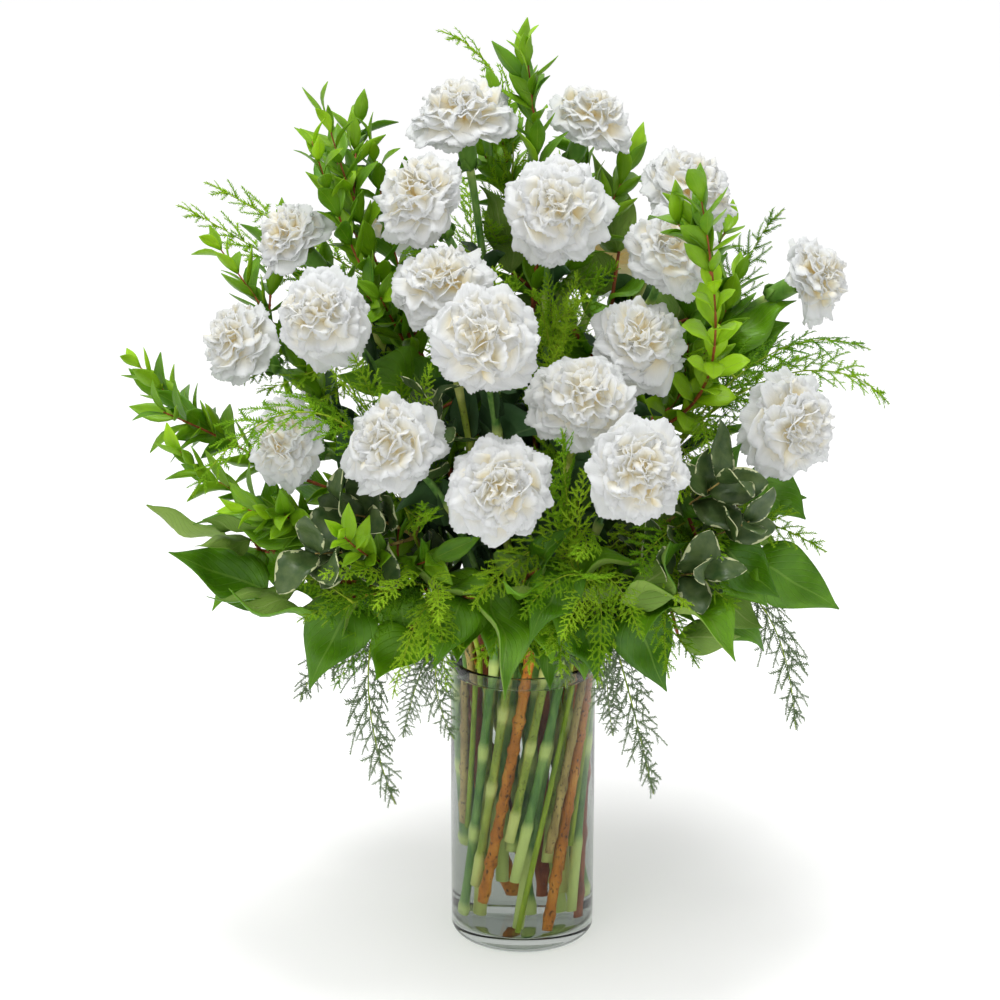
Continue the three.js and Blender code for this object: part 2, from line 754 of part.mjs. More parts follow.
function sprig(body, points) {
  const leaf = SMALL_LEAF[body.kind];
  const fat = TWIG[body.kind];
  const stops = [0, 0.2];
  for (let pair = 0; pair < leaf.pairs; pair++) {
    const t = leaf.from + ((0.94 - leaf.from) * pair) / (leaf.pairs - 1);
    stops.push(t, t + LEAF_FOOT);
  }
  const line = stops.map((t) => pointAt(points, t));
  const rings = rodRings(line, taper(line, fat * 1.3, fat * 0.7), 4);
  const shoots = [];
  for (let pair = 0; pair < leaf.pairs; pair++) {
    const r = 2 + 2 * pair;
    const ahead = tangent(line, r);
    const lean = radians(pair === leaf.pairs - 1 ? leaf.lean * 0.5 : leaf.lean);
    const size = leaf.length * (1.05 - 0.3 * stops[r]);
    for (const k of [pair % 2, 2 + (pair % 2)]) {
      const next = (k + 1) % 4;
      const root = [rings[r][k], rings[r][next], rings[r + 1][next], rings[r + 1][k]];
      const foot = mix(root[0], root[1], 0.5);
      const out = foot.clone().sub(line[r]).normalize();
      const along = ahead.clone().multiplyScalar(Math.cos(lean));
      along.addScaledVector(out, Math.sin(lean));
      const facing = ahead.clone().addScaledVector(along, -ahead.dot(along)).normalize();
      const found = findRoom(body.name, foot, lift(foot, along, size), facing, (base, tip, face, scale) =>
        skin([root, leafRing(base, tip, face, leaf.width * scale)], mix(root[0], root[2], 0.5), tip.clone()),
      );
      if (!found) continue;
      const ring = leafRing(foot, found.tip, facing, leaf.width * found.scale);
      shoots.push({ r, k, ring, tip: found.tip });
    }
  }
  return skin(rings, line[0].clone(), pointAt(points, 1), { shoots });
}

const FROND = {
  leafy: 125,
  steps: 9,
  reach: 26,
  rolls: [0, 30, -30, 60, -60],
};
const VIEWER = vec(0, -0.55, 0.83);
const BEHIND = vec(0, 0.55, 0.83);

for (const body of bodies) {
  if (SMALL_LEAF[body.kind]) {
    body.twigs.forEach((points) => {
      if (!points) return;
      pieces.get(body.name).push(put(body.name, sprig(body, points)));
    });
  }
  if (body.kind === "salal") {
    body.twigs.forEach((points, i) => {
      if (!points) return;
      const [, tipPoint, width] = body.branch.leaves[i];
      const tip = toVec(tipPoint);
      const base = points[points.length - 1];
      const facing = (tip.y > 20 ? BEHIND : VIEWER).clone();
      const along = tip.clone().sub(base).normalize();
      facing.addScaledVector(along, -facing.dot(along)).normalize();
      const form = { arch: 0.12, fold: 0.1, thick: 1.4 };
      const found = findRoom(body.name, base, tip, facing, (foot, end, face, scale) =>
        stalkedLeaf(points, end, face, width * scale, OVATE, form),
      );
      if (found) pieces.get(body.name).push(found.shape);
    });
  }
  if (body.kind === "fern") {
    body.twigs.forEach((points) => {
      if (!points) return;
      const length = points.slice(1).reduce((sum, p, k) => sum + p.distanceTo(points[k]), 0);
      const bareShare = Math.max(0.2, 1 - FROND.leafy / length);
      const route = points.filter((_, k) => k / (points.length - 1) < bareShare - 0.03);
      const bare = route.length;
      for (let k = 0; k <= FROND.steps; k++) {
        route.push(pointAt(points, bareShare + ((1 - bareShare) * k) / FROND.steps));
      }
      const facing = route[route.length - 1].y > 20 ? BEHIND : VIEWER;
      const tries = FROND.rolls.map((roll) => {
        const turned = facing.clone().applyAxisAngle(tangent(route, bare + 4), radians(roll));
        return frond(body.name, route, turned, bare);
      });
      const best = tries.reduce((most, one) => (one.share > most.share + 0.1 ? one : most));
      pieces.get(body.name).push(put(body.name, best.shape));
    });
  }
}

// ---- vase and water ----------------------------------------------------------------------
function lathe(profile) {
  const outline = profile.map(([r, z]) => new THREE.Vector2(r, z));
  const geometry = new THREE.LatheGeometry(outline, VASE.sides);
  geometry.rotateX(Math.PI / 2);
  return solidOf(geometry);
}

function vase() {
  const { radius, height, wall, floor, heel, rim } = VASE;
  const inside = radius - wall;
  return lathe([
    [0, 0],
    [radius - heel, 0],
    [radius - heel * 0.3, heel * 0.3],
    [radius, heel],
    [radius, height - rim],
    [radius - wall * 0.25, height],
    [inside + wall * 0.25, height],
    [inside, height - rim],
    [inside, floor + heel],
    [inside - heel * 0.35, floor + heel * 0.35],
    [inside - heel, floor],
    [0, floor],
  ]);
}

function water() {
  const { wall, floor, heel } = VASE;
  const side = VASE.radius - wall - GAP;
  const low = floor + GAP;
  let body = lathe([
    [0, low],
    [side - heel, low],
    [side - heel * 0.35, low + heel * 0.35],
    [side, low + heel],
    [side, WATER_LEVEL],
    [0, WATER_LEVEL],
  ]);
  for (const { foot, rim, kind } of bodies) {
    const along = rim.clone().sub(foot).normalize();
    const wide = STEM[kind] + GAP * 1.2;
    const line = [lift(foot, along, -GAP * 1.5), rim];
    body = body.subtract(rod(line, [wide, wide], 5));
  }
  return body;
}

// ---- the finished group --------------------------------------------------------------------
function addMesh(name, shape, material) {
  const { vertProperties, triVerts } = shape.getMesh();
  const geometry = new THREE.BufferGeometry();
  geometry.setAttribute("position", new THREE.BufferAttribute(vertProperties, 3));
  geometry.setIndex(new THREE.BufferAttribute(triVerts, 1));
  geometry.computeVertexNormals();
  const mesh = new THREE.Mesh(geometry, material);
  mesh.name = name;
  model.add(mesh);
}

addMesh("vase", vase(), MATERIALS.glass());
addMesh("water", water(), MATERIALS.water());
blooms.forEach(({ name, shape }) => addMesh(name, shape, MATERIALS.petal()));
for (const body of bodies) {
  const whole = Manifold.union(pieces.get(body.name));
  addMesh(body.name, whole, MATERIALS[body.kind]());
}

export default model;
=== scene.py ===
"""White carnations and mixed greenery in a glass cylinder of water.

Places and routes are worked out in millimetres by the same rules as the solids' own, and each piece
is brought to metres when its shapes are put in place. The vase takes its size from its solid.
"""

import math
import random

import bmesh
import bpy
import numpy as np
from mathutils import Matrix, Vector


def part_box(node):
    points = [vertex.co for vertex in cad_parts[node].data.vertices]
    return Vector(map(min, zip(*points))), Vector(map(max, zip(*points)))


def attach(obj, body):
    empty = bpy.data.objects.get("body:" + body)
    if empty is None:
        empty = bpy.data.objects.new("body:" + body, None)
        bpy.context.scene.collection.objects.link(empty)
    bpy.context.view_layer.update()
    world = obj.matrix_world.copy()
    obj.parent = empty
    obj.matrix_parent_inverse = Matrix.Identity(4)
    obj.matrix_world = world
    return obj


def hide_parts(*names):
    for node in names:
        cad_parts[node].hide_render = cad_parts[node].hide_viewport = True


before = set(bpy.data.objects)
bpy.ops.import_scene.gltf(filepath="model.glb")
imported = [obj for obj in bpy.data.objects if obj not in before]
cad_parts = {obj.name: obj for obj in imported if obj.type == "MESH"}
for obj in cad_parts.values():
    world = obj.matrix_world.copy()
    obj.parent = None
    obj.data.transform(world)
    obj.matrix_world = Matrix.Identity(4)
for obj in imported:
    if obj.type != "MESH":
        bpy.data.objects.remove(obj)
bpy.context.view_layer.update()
MM = 0.001

# ---- camera, at the photograph's viewing angle ------------------------------------------------
CAMERA_PLACE = (-16, -1500, 748)
CAMERA_PITCH = 16  # degrees below level
CAMERA_LENS = 81.97
CAMERA_SENSOR = 36
CAMERA_SEES = 30  # metres


def make_camera():
    bpy.ops.object.camera_add(
        location=[c * MM for c in CAMERA_PLACE],
        rotation=(math.radians(90 - CAMERA_PITCH), 0, 0),
    )
    camera = bpy.context.object
    camera.data.sensor_width = CAMERA_SENSOR
    camera.data.lens = CAMERA_LENS
    camera.data.clip_end = CAMERA_SEES
    bpy.context.scene.camera = camera


make_camera()

# ---- driving dimensions, mm -------------------------------------------------------------------
GAP = 0.35
VASE = {"radius": 51, "height": 206, "wall": 3, "floor": 10, "heel": 5, "rim": 1.5}
WATER_LEVEL = 196
CALYX_LENGTH = 25
CALYX_WAIST = 6.4
BLOOM_DEPTH = 0.42  # the bloom's seat below its middle, as a share of its radius
STEM = {"carnation": 2.9, "myrtle": 3.1, "salal": 3.4, "pittosporum": 2.8, "fern": 1.9}
TWIG_STEPS = {"myrtle": 5, "salal": 2, "pittosporum": 4, "fern": 9}
TWIG = {"myrtle": 1.1, "salal": 1.3, "pittosporum": 1.1, "fern": 0.9}
RINGS = [(4, 14), (11, 28), (21, 41)]  # stems in each ring at the rim, and its radius
TWIST = 62  # degrees that the bundle turns between its feet and the rim
FOOT_SPREAD = 0.78  # the feet's ring radius as a share of the rim's
BEND_START = VASE["height"] + 6  # straight below here, bent above
FOOT_REST = VASE["floor"] + 3 * GAP
CALYX_OVERLAP = 2  # how far a stem reaches up into its calyx
GOLDEN_TURN = 2.4  # radians from one try, leaf or sprig to the next

# Carnations: middle of the petals, the way the bloom faces, and its radius.
BLOOMS = [
    [-42, 10, 580, -0.15, -0.3, 0.95, 37],
    [45, 45, 573, 0.35, -0.3, 0.9, 30],
    [-67, -40, 534, -0.4, -0.5, 0.75, 35],
    [20, -75, 530, 0.05, -0.9, 0.45, 38],
    [112, 30, 528, 0.35, -0.45, 0.82, 36],
    [97, -45, 500, 0.2, -0.7, 0.7, 34],
    [191, -15, 477, 0.75, -0.45, 0.5, 30],
    [-153, 0, 499, -0.55, -0.35, 0.75, 28],
    [-188, -30, 436, -0.6, -0.5, 0.6, 30],
    [-128, -95, 466, -0.3, -0.85, 0.45, 34],
    [-53, -75, 482, -0.1, -0.5, 0.85, 36],
    [-26, -140, 461, 0, -0.9, 0.4, 36],
    [74, -72, 444, 0.25, -0.65, 0.7, 35],
    [35, -118, 418, 0.1, -0.65, 0.75, 34],
    [170, -80, 392, 0.55, -0.8, 0.25, 34],
    [-82, -138, 394, -0.25, -0.8, 0.5, 36],
    [-16, -165, 374, 0, -0.9, 0.4, 36],
    [68, -165, 385, 0.15, -0.9, 0.4, 34],
    [-152, -100, 387, -0.55, -0.7, 0.4, 31],
    [-85, 110, 500, -0.4, 0.6, 0.7, 34],
    [65, 125, 470, 0.3, 0.75, 0.6, 34],
    [-15, 145, 395, -0.05, 0.95, 0.35, 34],
]

# Leafy branches: the top of the main stem, then each sprig's bend points up to its tip.
SPRIGS = {
    "myrtle_1": ([6, 12, 450], [
        [[16, 15, 540], [-2, 10, 638]],
        [[10, 70, 500], [-30, 110, 565]],
        [[0, 110, 480], [30, 165, 530]],
        [[60, 40, 500], [80, 75, 556]],
    ]),
    "myrtle_2": ([-66, 2, 410], [
        [[-108, 5, 490], [-134, 2, 595]],
        [[-112, -15, 470], [-141, -25, 579]],
        [[-92, 35, 490], [-105, 32, 573]],
        [[-110, 60, 430], [-150, 80, 480]],
    ]),
    "myrtle_3": ([-92, -20, 320], [
        [[-190, -25, 345], [-235, -30, 395], [-267, -20, 429]],
        [[-165, -55, 320], [-210, -65, 345], [-232, -72, 382]],
        [[-150, 10, 400], [-214, 20, 502]],
        [[-130, -85, 320], [-191, -118, 350]],
        [[-90, -100, 290], [-118, -168, 350]],
    ]),
    "myrtle_4": ([84, -20, 370], [
        [[132, -50, 400], [126, -112, 450], [104, -108, 557]],
        [[130, 0, 420], [146, -2, 487]],
        [[120, 60, 430], [150, 100, 500]],
        [[90, 90, 400], [120, 150, 430]],
    ]),
    "pittosporum_1": ([88, -62, 315], [
        [[110, -90, 345], [134, -125, 374]],
        [[125, -100, 320], [150, -140, 350]],
        [[95, -120, 300], [120, -160, 320]],
    ]),
    "pittosporum_2": ([-72, -62, 310], [
        [[-100, -100, 310], [-146, -146, 325]],
        [[-60, -70, 360], [-60, -95, 425]],
        [[-90, -80, 330], [-122, -124, 345]],
    ]),
}

# Large leaves: on each branch, where the blade starts, its tip, and its width.
LARGE_LEAVES = {
    "salal_1": ([-80, -42, 262], [
        [[-200, -30, 293], [-252, -40, 326], 32],
        [[-172, -52, 270], [-232, -82, 306], 42],
        [[-130, -62, 292], [-212, -62, 322], 44],
        [[-122, -84, 286], [-188, -128, 296], 46],
        [[-112, -92, 278], [-138, -134, 230], 50],
        [[-75, -88, 255], [-96, -121, 232], 42],
        [[-110, 50, 290], [-178, 82, 300], 46],
        [[-90, 75, 270], [-135, 130, 240], 46],
    ]),
    "salal_2": ([-8, -66, 268], [
        [[-22, -104, 290], [-13, -146, 228], 46],
        [[30, -112, 296], [2, -166, 272], 42],
        [[8, -120, 306], [-14, -172, 316], 28],
        [[-40, -96, 280], [-58, -138, 246], 38],
        [[40, -92, 262], [46, -136, 236], 40],
    ]),
    "salal_3": ([74, -42, 268], [
        [[150, -52, 292], [210, -62, 260], 48],
        [[66, -118, 283], [88, -170, 340], 38],
        [[70, -88, 272], [92, -116, 222], 48],
        [[122, -84, 312], [156, -116, 280], 44],
        [[142, -45, 322], [186, -58, 336], 36],
        [[100, -108, 285], [132, -152, 256], 46],
        [[122, 10, 290], [184, 32, 268], 46],
        [[70, 70, 262], [100, 128, 232], 46],
    ]),
    "salal_4": ([56, 40, 400], [
        [[132, 2, 416], [178, -2, 442], 42],
        [[66, 56, 480], [48, 84, 544], 38],
        [[-8, 30, 470], [-30, 26, 530], 36],
        [[112, 20, 440], [140, -12, 476], 34],
        [[30, 105, 400], [44, 165, 425], 44],
        [[-45, 95, 400], [-85, 155, 420], 44],
        [[78, 112, 345], [124, 165, 340], 46],
        [[-10, 85, 280], [-20, 150, 256], 48],
    ]),
}

# Feathery fronds: the top of the wiry stem, then each frond's bend points up to its tip.
FRONDS = {
    "fern_1": ([-40, 60, 430], [
        [[10, 75, 520], [4, 70, 612], [-59, 45, 632]],
        [[-110, 50, 430], [-190, 46, 490], [-236, 40, 516]],
        [[-100, 78, 450], [-170, 72, 500], [-220, 66, 528]],
        [[-30, 110, 500], [-45, 165, 520]],
        [[-60, 95, 300], [-75, 118, 180]],
        [[10, 95, 280], [34, 120, 186]],
    ]),
    "fern_2": ([104, -36, 370], [
        [[160, -40, 430], [215, -45, 430], [243, -32, 392]],
        [[150, -40, 440], [190, -60, 452], [224, -62, 436]],
        [[150, -75, 340], [196, -92, 308]],
        [[150, -30, 290], [178, -42, 260], [187, -40, 163]],
        [[140, 50, 390], [206, 90, 400]],
        [[140, 40, 430], [150, 60, 490], [178, 42, 512]],
    ]),
    "fern_3": ([-66, -66, 290], [
        [[-112, -85, 280], [-112, -92, 200], [-86, -84, 127]],
        [[-130, -60, 262], [-152, -62, 193]],
        [[-60, -110, 270], [-66, -108, 220], [-46, -98, 180]],
        [[-90, -110, 440], [-150, -160, 440], [-189, -150, 385], [-208, -142, 360]],
        [[-92, -110, 300], [-128, -160, 282]],
        [[-60, -110, 290], [-62, -170, 262]],
    ]),
    "fern_4": ([40, -62, 290], [
        [[58, -80, 262], [74, -70, 190], [89, -62, 125]],
        [[25, -110, 330], [22, -160, 410]],
        [[35, -120, 300], [42, -178, 322]],
        [[20, -110, 285], [22, -168, 250]],
        [[90, -90, 280], [112, -124, 240]],
        [[30, -30, 400], [12, -48, 470], [4, -84, 482]],
    ]),
}


# ---- small helpers ----------------------------------------------------------------------------
def vec(*place):
    return np.array(place, float)


def unit(v):
    return v / np.linalg.norm(v)


def mix(a, b, t):
    return a + (b - a) * t


def on_circle(turn, radius, height):
    return vec(math.cos(turn) * radius, math.sin(turn) * radius, height)


def turned(side, axis, turn):
    """A direction square to the axis, turned about it."""
    return side * math.cos(turn) + np.cross(axis, side) * math.sin(turn)


def perpendicular(direction):
    helper = vec(1, 0, 0) if abs(direction[2]) > 0.9 else vec(0, 0, 1)
    return unit(np.cross(direction, helper))


def bend(controls, steps):
    """Points along the Bezier curve that the control points pull."""
    points = []
    for i in range(steps + 1):
        layer = list(controls)
        while len(layer) > 1:
            layer = [mix(a, b, i / steps) for a, b in zip(layer, layer[1:])]
        points.append(layer[0])
    return np.array(points)


def lengths(points):
    """How far along the line each point lies."""
    steps = np.linalg.norm(np.diff(points, axis=0), axis=1)
    return np.concatenate([[0], np.cumsum(steps)])


def along(points, share):
    """The point a share of the way along a line, and the line's direction there."""
    reach = lengths(points)
    place = [np.interp(share * reach[-1], reach, points[:, k]) for k in range(3)]
    i = int(np.clip(np.searchsorted(reach, share * reach[-1]), 1, len(points) - 1))
    return vec(*place), unit(points[i] - points[i - 1])


def part_of(points, start, end, count):
    """A stretch of a line, from one share of its length to another, as evenly spaced points."""
    return np.array([along(points, mix(start, end, i / count))[0] for i in range(count + 1)])


# ---- keeping stems clear of each other --------------------------------------------------------
obstacles = []  # (a line's points, its radius, the body it belongs to, its box's two corners)
CLEARANCE = 0.8
BOX_MARGIN = 1
SPIRAL_TRIES = 120
SPIRAL_STEP = 2.4


def gaps(p1, q1, p2, q2):
    """Distances between two sets of straight stretches, every one with every other."""
    d1 = q1 - p1
    d2 = q2 - p2
    r = p1 - p2
    a = (d1 * d1).sum(-1)
    e = (d2 * d2).sum(-1)
    b = (d1 * d2).sum(-1)
    c = (d1 * r).sum(-1)
    f = (d2 * r).sum(-1)
    spread = a * e - b * b
    skew = spread > 1e-9
    s = np.where(skew, np.clip((b * f - c * e) / np.where(skew, spread, 1), 0, 1), 0)
    t = (b * s + f) / np.maximum(e, 1e-12)
    held = np.clip(t, 0, 1)
    s = np.where(held == t, s, np.clip((b * held - c) / np.maximum(a, 1e-12), 0, 1))
    return np.linalg.norm(r + d1 * s[..., None] - d2 * held[..., None], axis=-1)


def box_of(points, radius):
    return points.min(0) - radius - BOX_MARGIN, points.max(0) + radius + BOX_MARGIN


def is_clear(points, radius, body):
    low, high = box_of(points, radius)
    near = [
        (line, width) for line, width, owner, lowest, highest in obstacles
        if owner != body and (lowest <= high).all() and (highest >= low).all()
    ]
    if not near:
        return True
    starts = np.concatenate([line[:-1] for line, _ in near])
    ends = np.concatenate([line[1:] for line, _ in near])
    widths = np.concatenate([np.full(len(line) - 1, width) for line, width in near])
    room = widths + radius + CLEARANCE
    found = gaps(points[:-1, None], points[1:, None], starts[None], ends[None])
    return bool((found >= room[None]).all())


def claim(points, radius, body):
    points = np.array(points, float)
    obstacles.append((points, radius, body, *box_of(points, radius)))


def thread(controls, steps, radius, body, start_at=None):
    """The controls of the first curve, of a widening spiral of bends, that is clear."""
    for k in range(SPIRAL_TRIES):
        shift = on_circle(k * GOLDEN_TURN, SPIRAL_STEP * math.sqrt(k), 0)
        first = start_at(k) if start_at else controls[0]
        moved = [first, *[c + shift for c in controls[1:-1]], controls[-1]]
        points = bend(moved, steps)
        if is_clear(points, radius, body):
            claim(points, radius, body)
            return moved
    return None


# ---- places in the vase -----------------------------------------------------------------------
bodies = []
for number, row in enumerate(BLOOMS):
    facing = unit(vec(*row[3:6]))
    middle = vec(*row[:3])
    seat = middle - facing * BLOOM_DEPTH * row[6]
    bodies.append({
        "name": f"stem_{number + 1:02d}",
        "kind": "carnation",
        "end": seat - facing * (GAP + CALYX_LENGTH),
        "bloom": {"middle": middle, "facing": facing, "radius": row[6], "seat": seat},
        "number": number,
    })
for table in (SPRIGS, LARGE_LEAVES, FRONDS):
    for name, (top, routes) in table.items():
        kind = name.split("_")[0]
        bodies.append({"name": name, "kind": kind, "end": vec(*top), "routes": routes})


def cut_share(i):
    """How far up its way to the rim a stem is cut: every fifth reaches the floor."""
    return 0 if i % 5 == 0 else 0.04 + 0.05 * (i % 7)


def give_slots():
    """The more a body leans out, the further out its ring; round a ring they keep their order."""
    for body in bodies:
        out = body["end"] - vec(0, 0, VASE["height"])
        body["lean"] = math.hypot(out[0], out[1]) / out[2]
        body["azimuth"] = math.atan2(out[1], out[0]) % (2 * math.pi)
    by_lean = sorted(bodies, key=lambda body: body["lean"])
    used = 0
    for count, radius in RINGS:
        members = sorted(by_lean[used:used + count], key=lambda body: body["azimuth"])
        step = 2 * math.pi / count
        phase = sum(m["azimuth"] - i * step for i, m in enumerate(members)) / count
        for i, member in enumerate(members):
            turn = phase + i * step
            member["rim"] = on_circle(turn, radius, BEND_START)
            member["foot"] = on_circle(turn - math.radians(TWIST), radius * FOOT_SPREAD, FOOT_REST)
        used += count
    for i, body in enumerate(bodies):
        body["foot"] = mix(body["foot"], body["rim"], cut_share(i))


RIM_SIDES = 24
RIM_MARGIN = 0.4
BLOOM_ROOM = 0.98  # the share of its radius that a bloom keeps clear
BLOOM_ROOM_HALF = 0.1  # half the height of that room, as a share of the radius


def claim_places():
    """The rim, the straight stems, the blooms and their calyxes keep their room."""
    reach = VASE["radius"] - VASE["wall"] / 2
    level = VASE["height"] - VASE["rim"]
    rim = [on_circle(2 * math.pi * i / RIM_SIDES, reach, level) for i in range(RIM_SIDES + 1)]
    claim(rim, VASE["wall"] / 2 + RIM_MARGIN, "vase")
    for body in bodies:
        claim([body["foot"], body["rim"]], STEM[body["kind"]], body["name"])
        if "bloom" not in body:
            continue
        bloom = body["bloom"]
        half = bloom["facing"] * BLOOM_ROOM_HALF * bloom["radius"]
        room = bloom["radius"] * BLOOM_ROOM
        claim([bloom["middle"] - half, bloom["middle"] + half], room, body["name"])
        neck = body["end"] + bloom["facing"] * CALYX_OVERLAP
        claim([neck, bloom["seat"]], CALYX_WAIST, body["name"])


STEM_PULL = 0.35  # the share of a stem's reach that each end's direction pulls on
STEM_STEPS = 6
FINE_STEM_STEPS = 20


def route_stems():
    for body in bodies:
        rise = unit(body["rim"] - body["foot"])
        reach = np.linalg.norm(body["end"] - body["rim"])
        arrive = body["bloom"]["facing"] if "bloom" in body else unit(body["end"] - body["rim"])
        controls = [
            body["rim"],
            body["rim"] + rise * reach * STEM_PULL,
            body["end"] - arrive * reach * STEM_PULL,
            body["end"],
        ]
        found = thread(controls, STEM_STEPS, STEM[body["kind"]], body["name"]) or controls
        body["free"] = bend(found, STEM_STEPS)
        body["line"] = np.concatenate([[body["foot"]], bend(found, FINE_STEM_STEPS)])


TWIG_SLOPE = 0.5  # how far a twig rises for how far it reaches aside
LOWEST_OFFSHOOT = VASE["height"] + 22
OFFSHOOT_STEP = 9  # further up the stem at each try
OFFSHOOT_STEPS = 8
TWIG_BOW = 0.12  # rise of a twig with one bend point, as a share of its reach
TWIG_ROOM = 1.2
FINE_TWIG_STEPS = 16


def offshoot(body, target, raised):
    """The point of a branch's stem from which a sprig leaves to reach its first bend."""
    stem = body["free"]
    aside = math.hypot(*(target - body["end"])[:2])
    ideal = target[2] - TWIG_SLOPE * aside + raised
    height = min(max(ideal, LOWEST_OFFSHOOT + raised), body["end"][2])
    for low, high in zip(stem, stem[1:]):
        if high[2] >= height:
            return mix(low, high, min(max((height - low[2]) / (high[2] - low[2]), 0), 1))
    return stem[-1]


def route_twigs():
    for body in bodies:
        if "routes" not in body:
            continue
        body["twigs"] = []
        for i, route in enumerate(body["routes"]):
            large = body["kind"] == "salal"
            targets = [vec(*p) for p in (route[:1] if large else route)]

            def start_at(k, first=targets[0], leader=i == 0):
                if leader:
                    return body["end"]
                return offshoot(body, first, OFFSHOOT_STEP * (k % OFFSHOOT_STEPS))

            start = start_at(0)
            controls = [start, *targets]
            if len(controls) == 2:
                bow = mix(start, targets[0], 0.5)
                bow[2] += TWIG_BOW * np.linalg.norm(targets[0] - start)
                controls.insert(1, bow)
            room = TWIG[body["kind"]] + TWIG_ROOM
            steps = TWIG_STEPS[body["kind"]]
            found = thread(controls, steps, room, body["name"], start_at)
            body["twigs"].append(None if found is None else bend(found, FINE_TWIG_STEPS))


give_slots()
claim_places()
route_stems()
route_twigs()

# ---- tools for modelling ----------------------------------------------------------------------
# Shapes that repeat are modelled once, in millimetres, and copied into place in metres.
draw = random.Random(41)


def clear_selection():
    if bpy.context.object and bpy.context.object.mode == "EDIT":
        bpy.ops.object.mode_set(mode="OBJECT")
    bpy.ops.object.select_all(action="DESELECT")


def pick(piece, wanted):
    """Selects the vertices of the piece in edit mode whose place is wanted."""
    mesh = bmesh.from_edit_mesh(piece.data)
    for v in mesh.verts:
        v.select = bool(wanted(v.co))
    mesh.select_flush_mode()
    bmesh.update_edit_mesh(piece.data)


def open_up(piece):
    """The piece in edit mode with nothing selected."""
    bpy.context.view_layer.objects.active = piece
    bpy.ops.object.mode_set(mode="EDIT")
    bpy.ops.mesh.select_mode(type="VERT")
    bpy.ops.mesh.select_all(action="DESELECT")


def select_only(piece):
    clear_selection()
    piece.select_set(True)
    bpy.context.view_layer.objects.active = piece


def named(piece, name):
    piece.name = name
    piece.data.name = name
    return piece


def finish_shape(piece, name, *materials):
    if piece.mode == "EDIT":
        bpy.ops.object.mode_set(mode="OBJECT")
    select_only(piece)
    bpy.ops.object.transform_apply(location=True, rotation=True, scale=True)
    bpy.ops.object.shade_smooth()
    named(piece, name)
    piece.data.materials.clear()
    for material in materials:
        piece.data.materials.append(material)
    return piece


def apply(piece, kind, **settings):
    """Adds a modifier and applies it."""
    modifier = piece.modifiers.new(kind.lower(), kind)
    for key, value in settings.items():
        setattr(modifier, key, value)
    select_only(piece)
    bpy.ops.object.modifier_apply(modifier=modifier.name)
    return piece


def seated(place, ahead, facing, size=(1, 1, 1)):
    """Where a shape modelled along Y, its face up to Z, is put: place, direction, face, scale."""
    y = unit(ahead)
    x = unit(np.cross(y, facing))
    z = np.cross(x, y)
    matrix = Matrix.Identity(4)
    for row in range(3):
        for column, axis in enumerate((x, y, z)):
            matrix[row][column] = axis[row] * size[column] * MM
        matrix[row][3] = place[row] * MM
    return matrix


def copied(shape, matrix, **marks):
    """A copy of a shape with a mesh of its own, put in place, its marks kept as attributes."""
    mesh = shape.data.copy()
    mesh.transform(matrix)
    for name, value in marks.items():
        mark = mesh.attributes.new(name, "FLOAT", "POINT")
        mark.data.foreach_set("value", [value] * len(mesh.vertices))
    piece = bpy.data.objects.new(shape.name, mesh)
    bpy.context.collection.objects.link(piece)
    return piece


def in_mm(matrix):
    """The same place for a part of a shape that is still being modelled in millimetres."""
    return Matrix.Scale(1 / MM, 4) @ matrix


def joined(name, parts):
    select_only(parts[0])
    for part in parts:
        part.select_set(True)
    bpy.ops.object.join()
    return named(bpy.context.object, name)


def bent(shape, points, radii=None, roll=0.0, **marks):
    """A copy of a shape modelled straight along X, stretched over a line and bent to it."""
    guide = bpy.data.curves.new("guide", "CURVE")
    guide.dimensions = "3D"
    guide.use_stretch = True
    guide.use_deform_bounds = True
    spline = guide.splines.new("POLY")
    spline.points.add(len(points) - 1)
    for i, (point, place) in enumerate(zip(spline.points, points)):
        point.co = (*(place * MM), 1)
        point.radius = radii[i] if radii is not None else 1
    holder = bpy.data.objects.new("guide", guide)
    bpy.context.collection.objects.link(holder)
    turn = Matrix.Rotation(roll, 4, "X")
    piece = copied(shape, Matrix.Scale(MM, 4) @ turn, **marks)
    apply(piece, "CURVE", object=holder, deform_axis="POS_X")
    bpy.data.objects.remove(holder)
    bpy.data.curves.remove(guide)
    return piece


def laid_along(shape, points, facing, spread, **marks):
    """A copy of a flat shape along X, carried along a line with its face kept to one side."""
    piece = copied(shape, Matrix.Identity(4), **marks)
    count = len(piece.data.vertices)
    flat = np.empty(3 * count)
    piece.data.vertices.foreach_get("co", flat)
    flat = flat.reshape(count, 3)
    reach = lengths(points)
    share = np.clip(flat[:, 0] / flat[:, 0].max(), 0, 1) * reach[-1]
    ahead = np.gradient(points, reach, axis=0)
    middle = np.stack([np.interp(share, reach, points[:, k]) for k in range(3)], 1)
    x = np.stack([np.interp(share, reach, ahead[:, k]) for k in range(3)], 1)
    x /= np.linalg.norm(x, axis=1)[:, None]
    z = facing - x * (x @ facing)[:, None]
    z /= np.linalg.norm(z, axis=1)[:, None]
    y = np.cross(z, x)
    placed = middle + (y * flat[:, 1:2] + z * flat[:, 2:3]) * spread
    piece.data.vertices.foreach_set("co", (placed * MM).ravel())
    piece.data.update()
    return piece


def draw_out(*way):
    bpy.ops.mesh.extrude_region_move(TRANSFORM_OT_translate={"value": way})


def face_outward():
    bpy.ops.mesh.select_all(action="SELECT")
    bpy.ops.mesh.normals_make_consistent(inside=False)


ALONG_X, ALONG_Y = 0, 1
FACING_AXIS = [(0, math.pi / 2, 0), (math.pi / 2, 0, 0)]


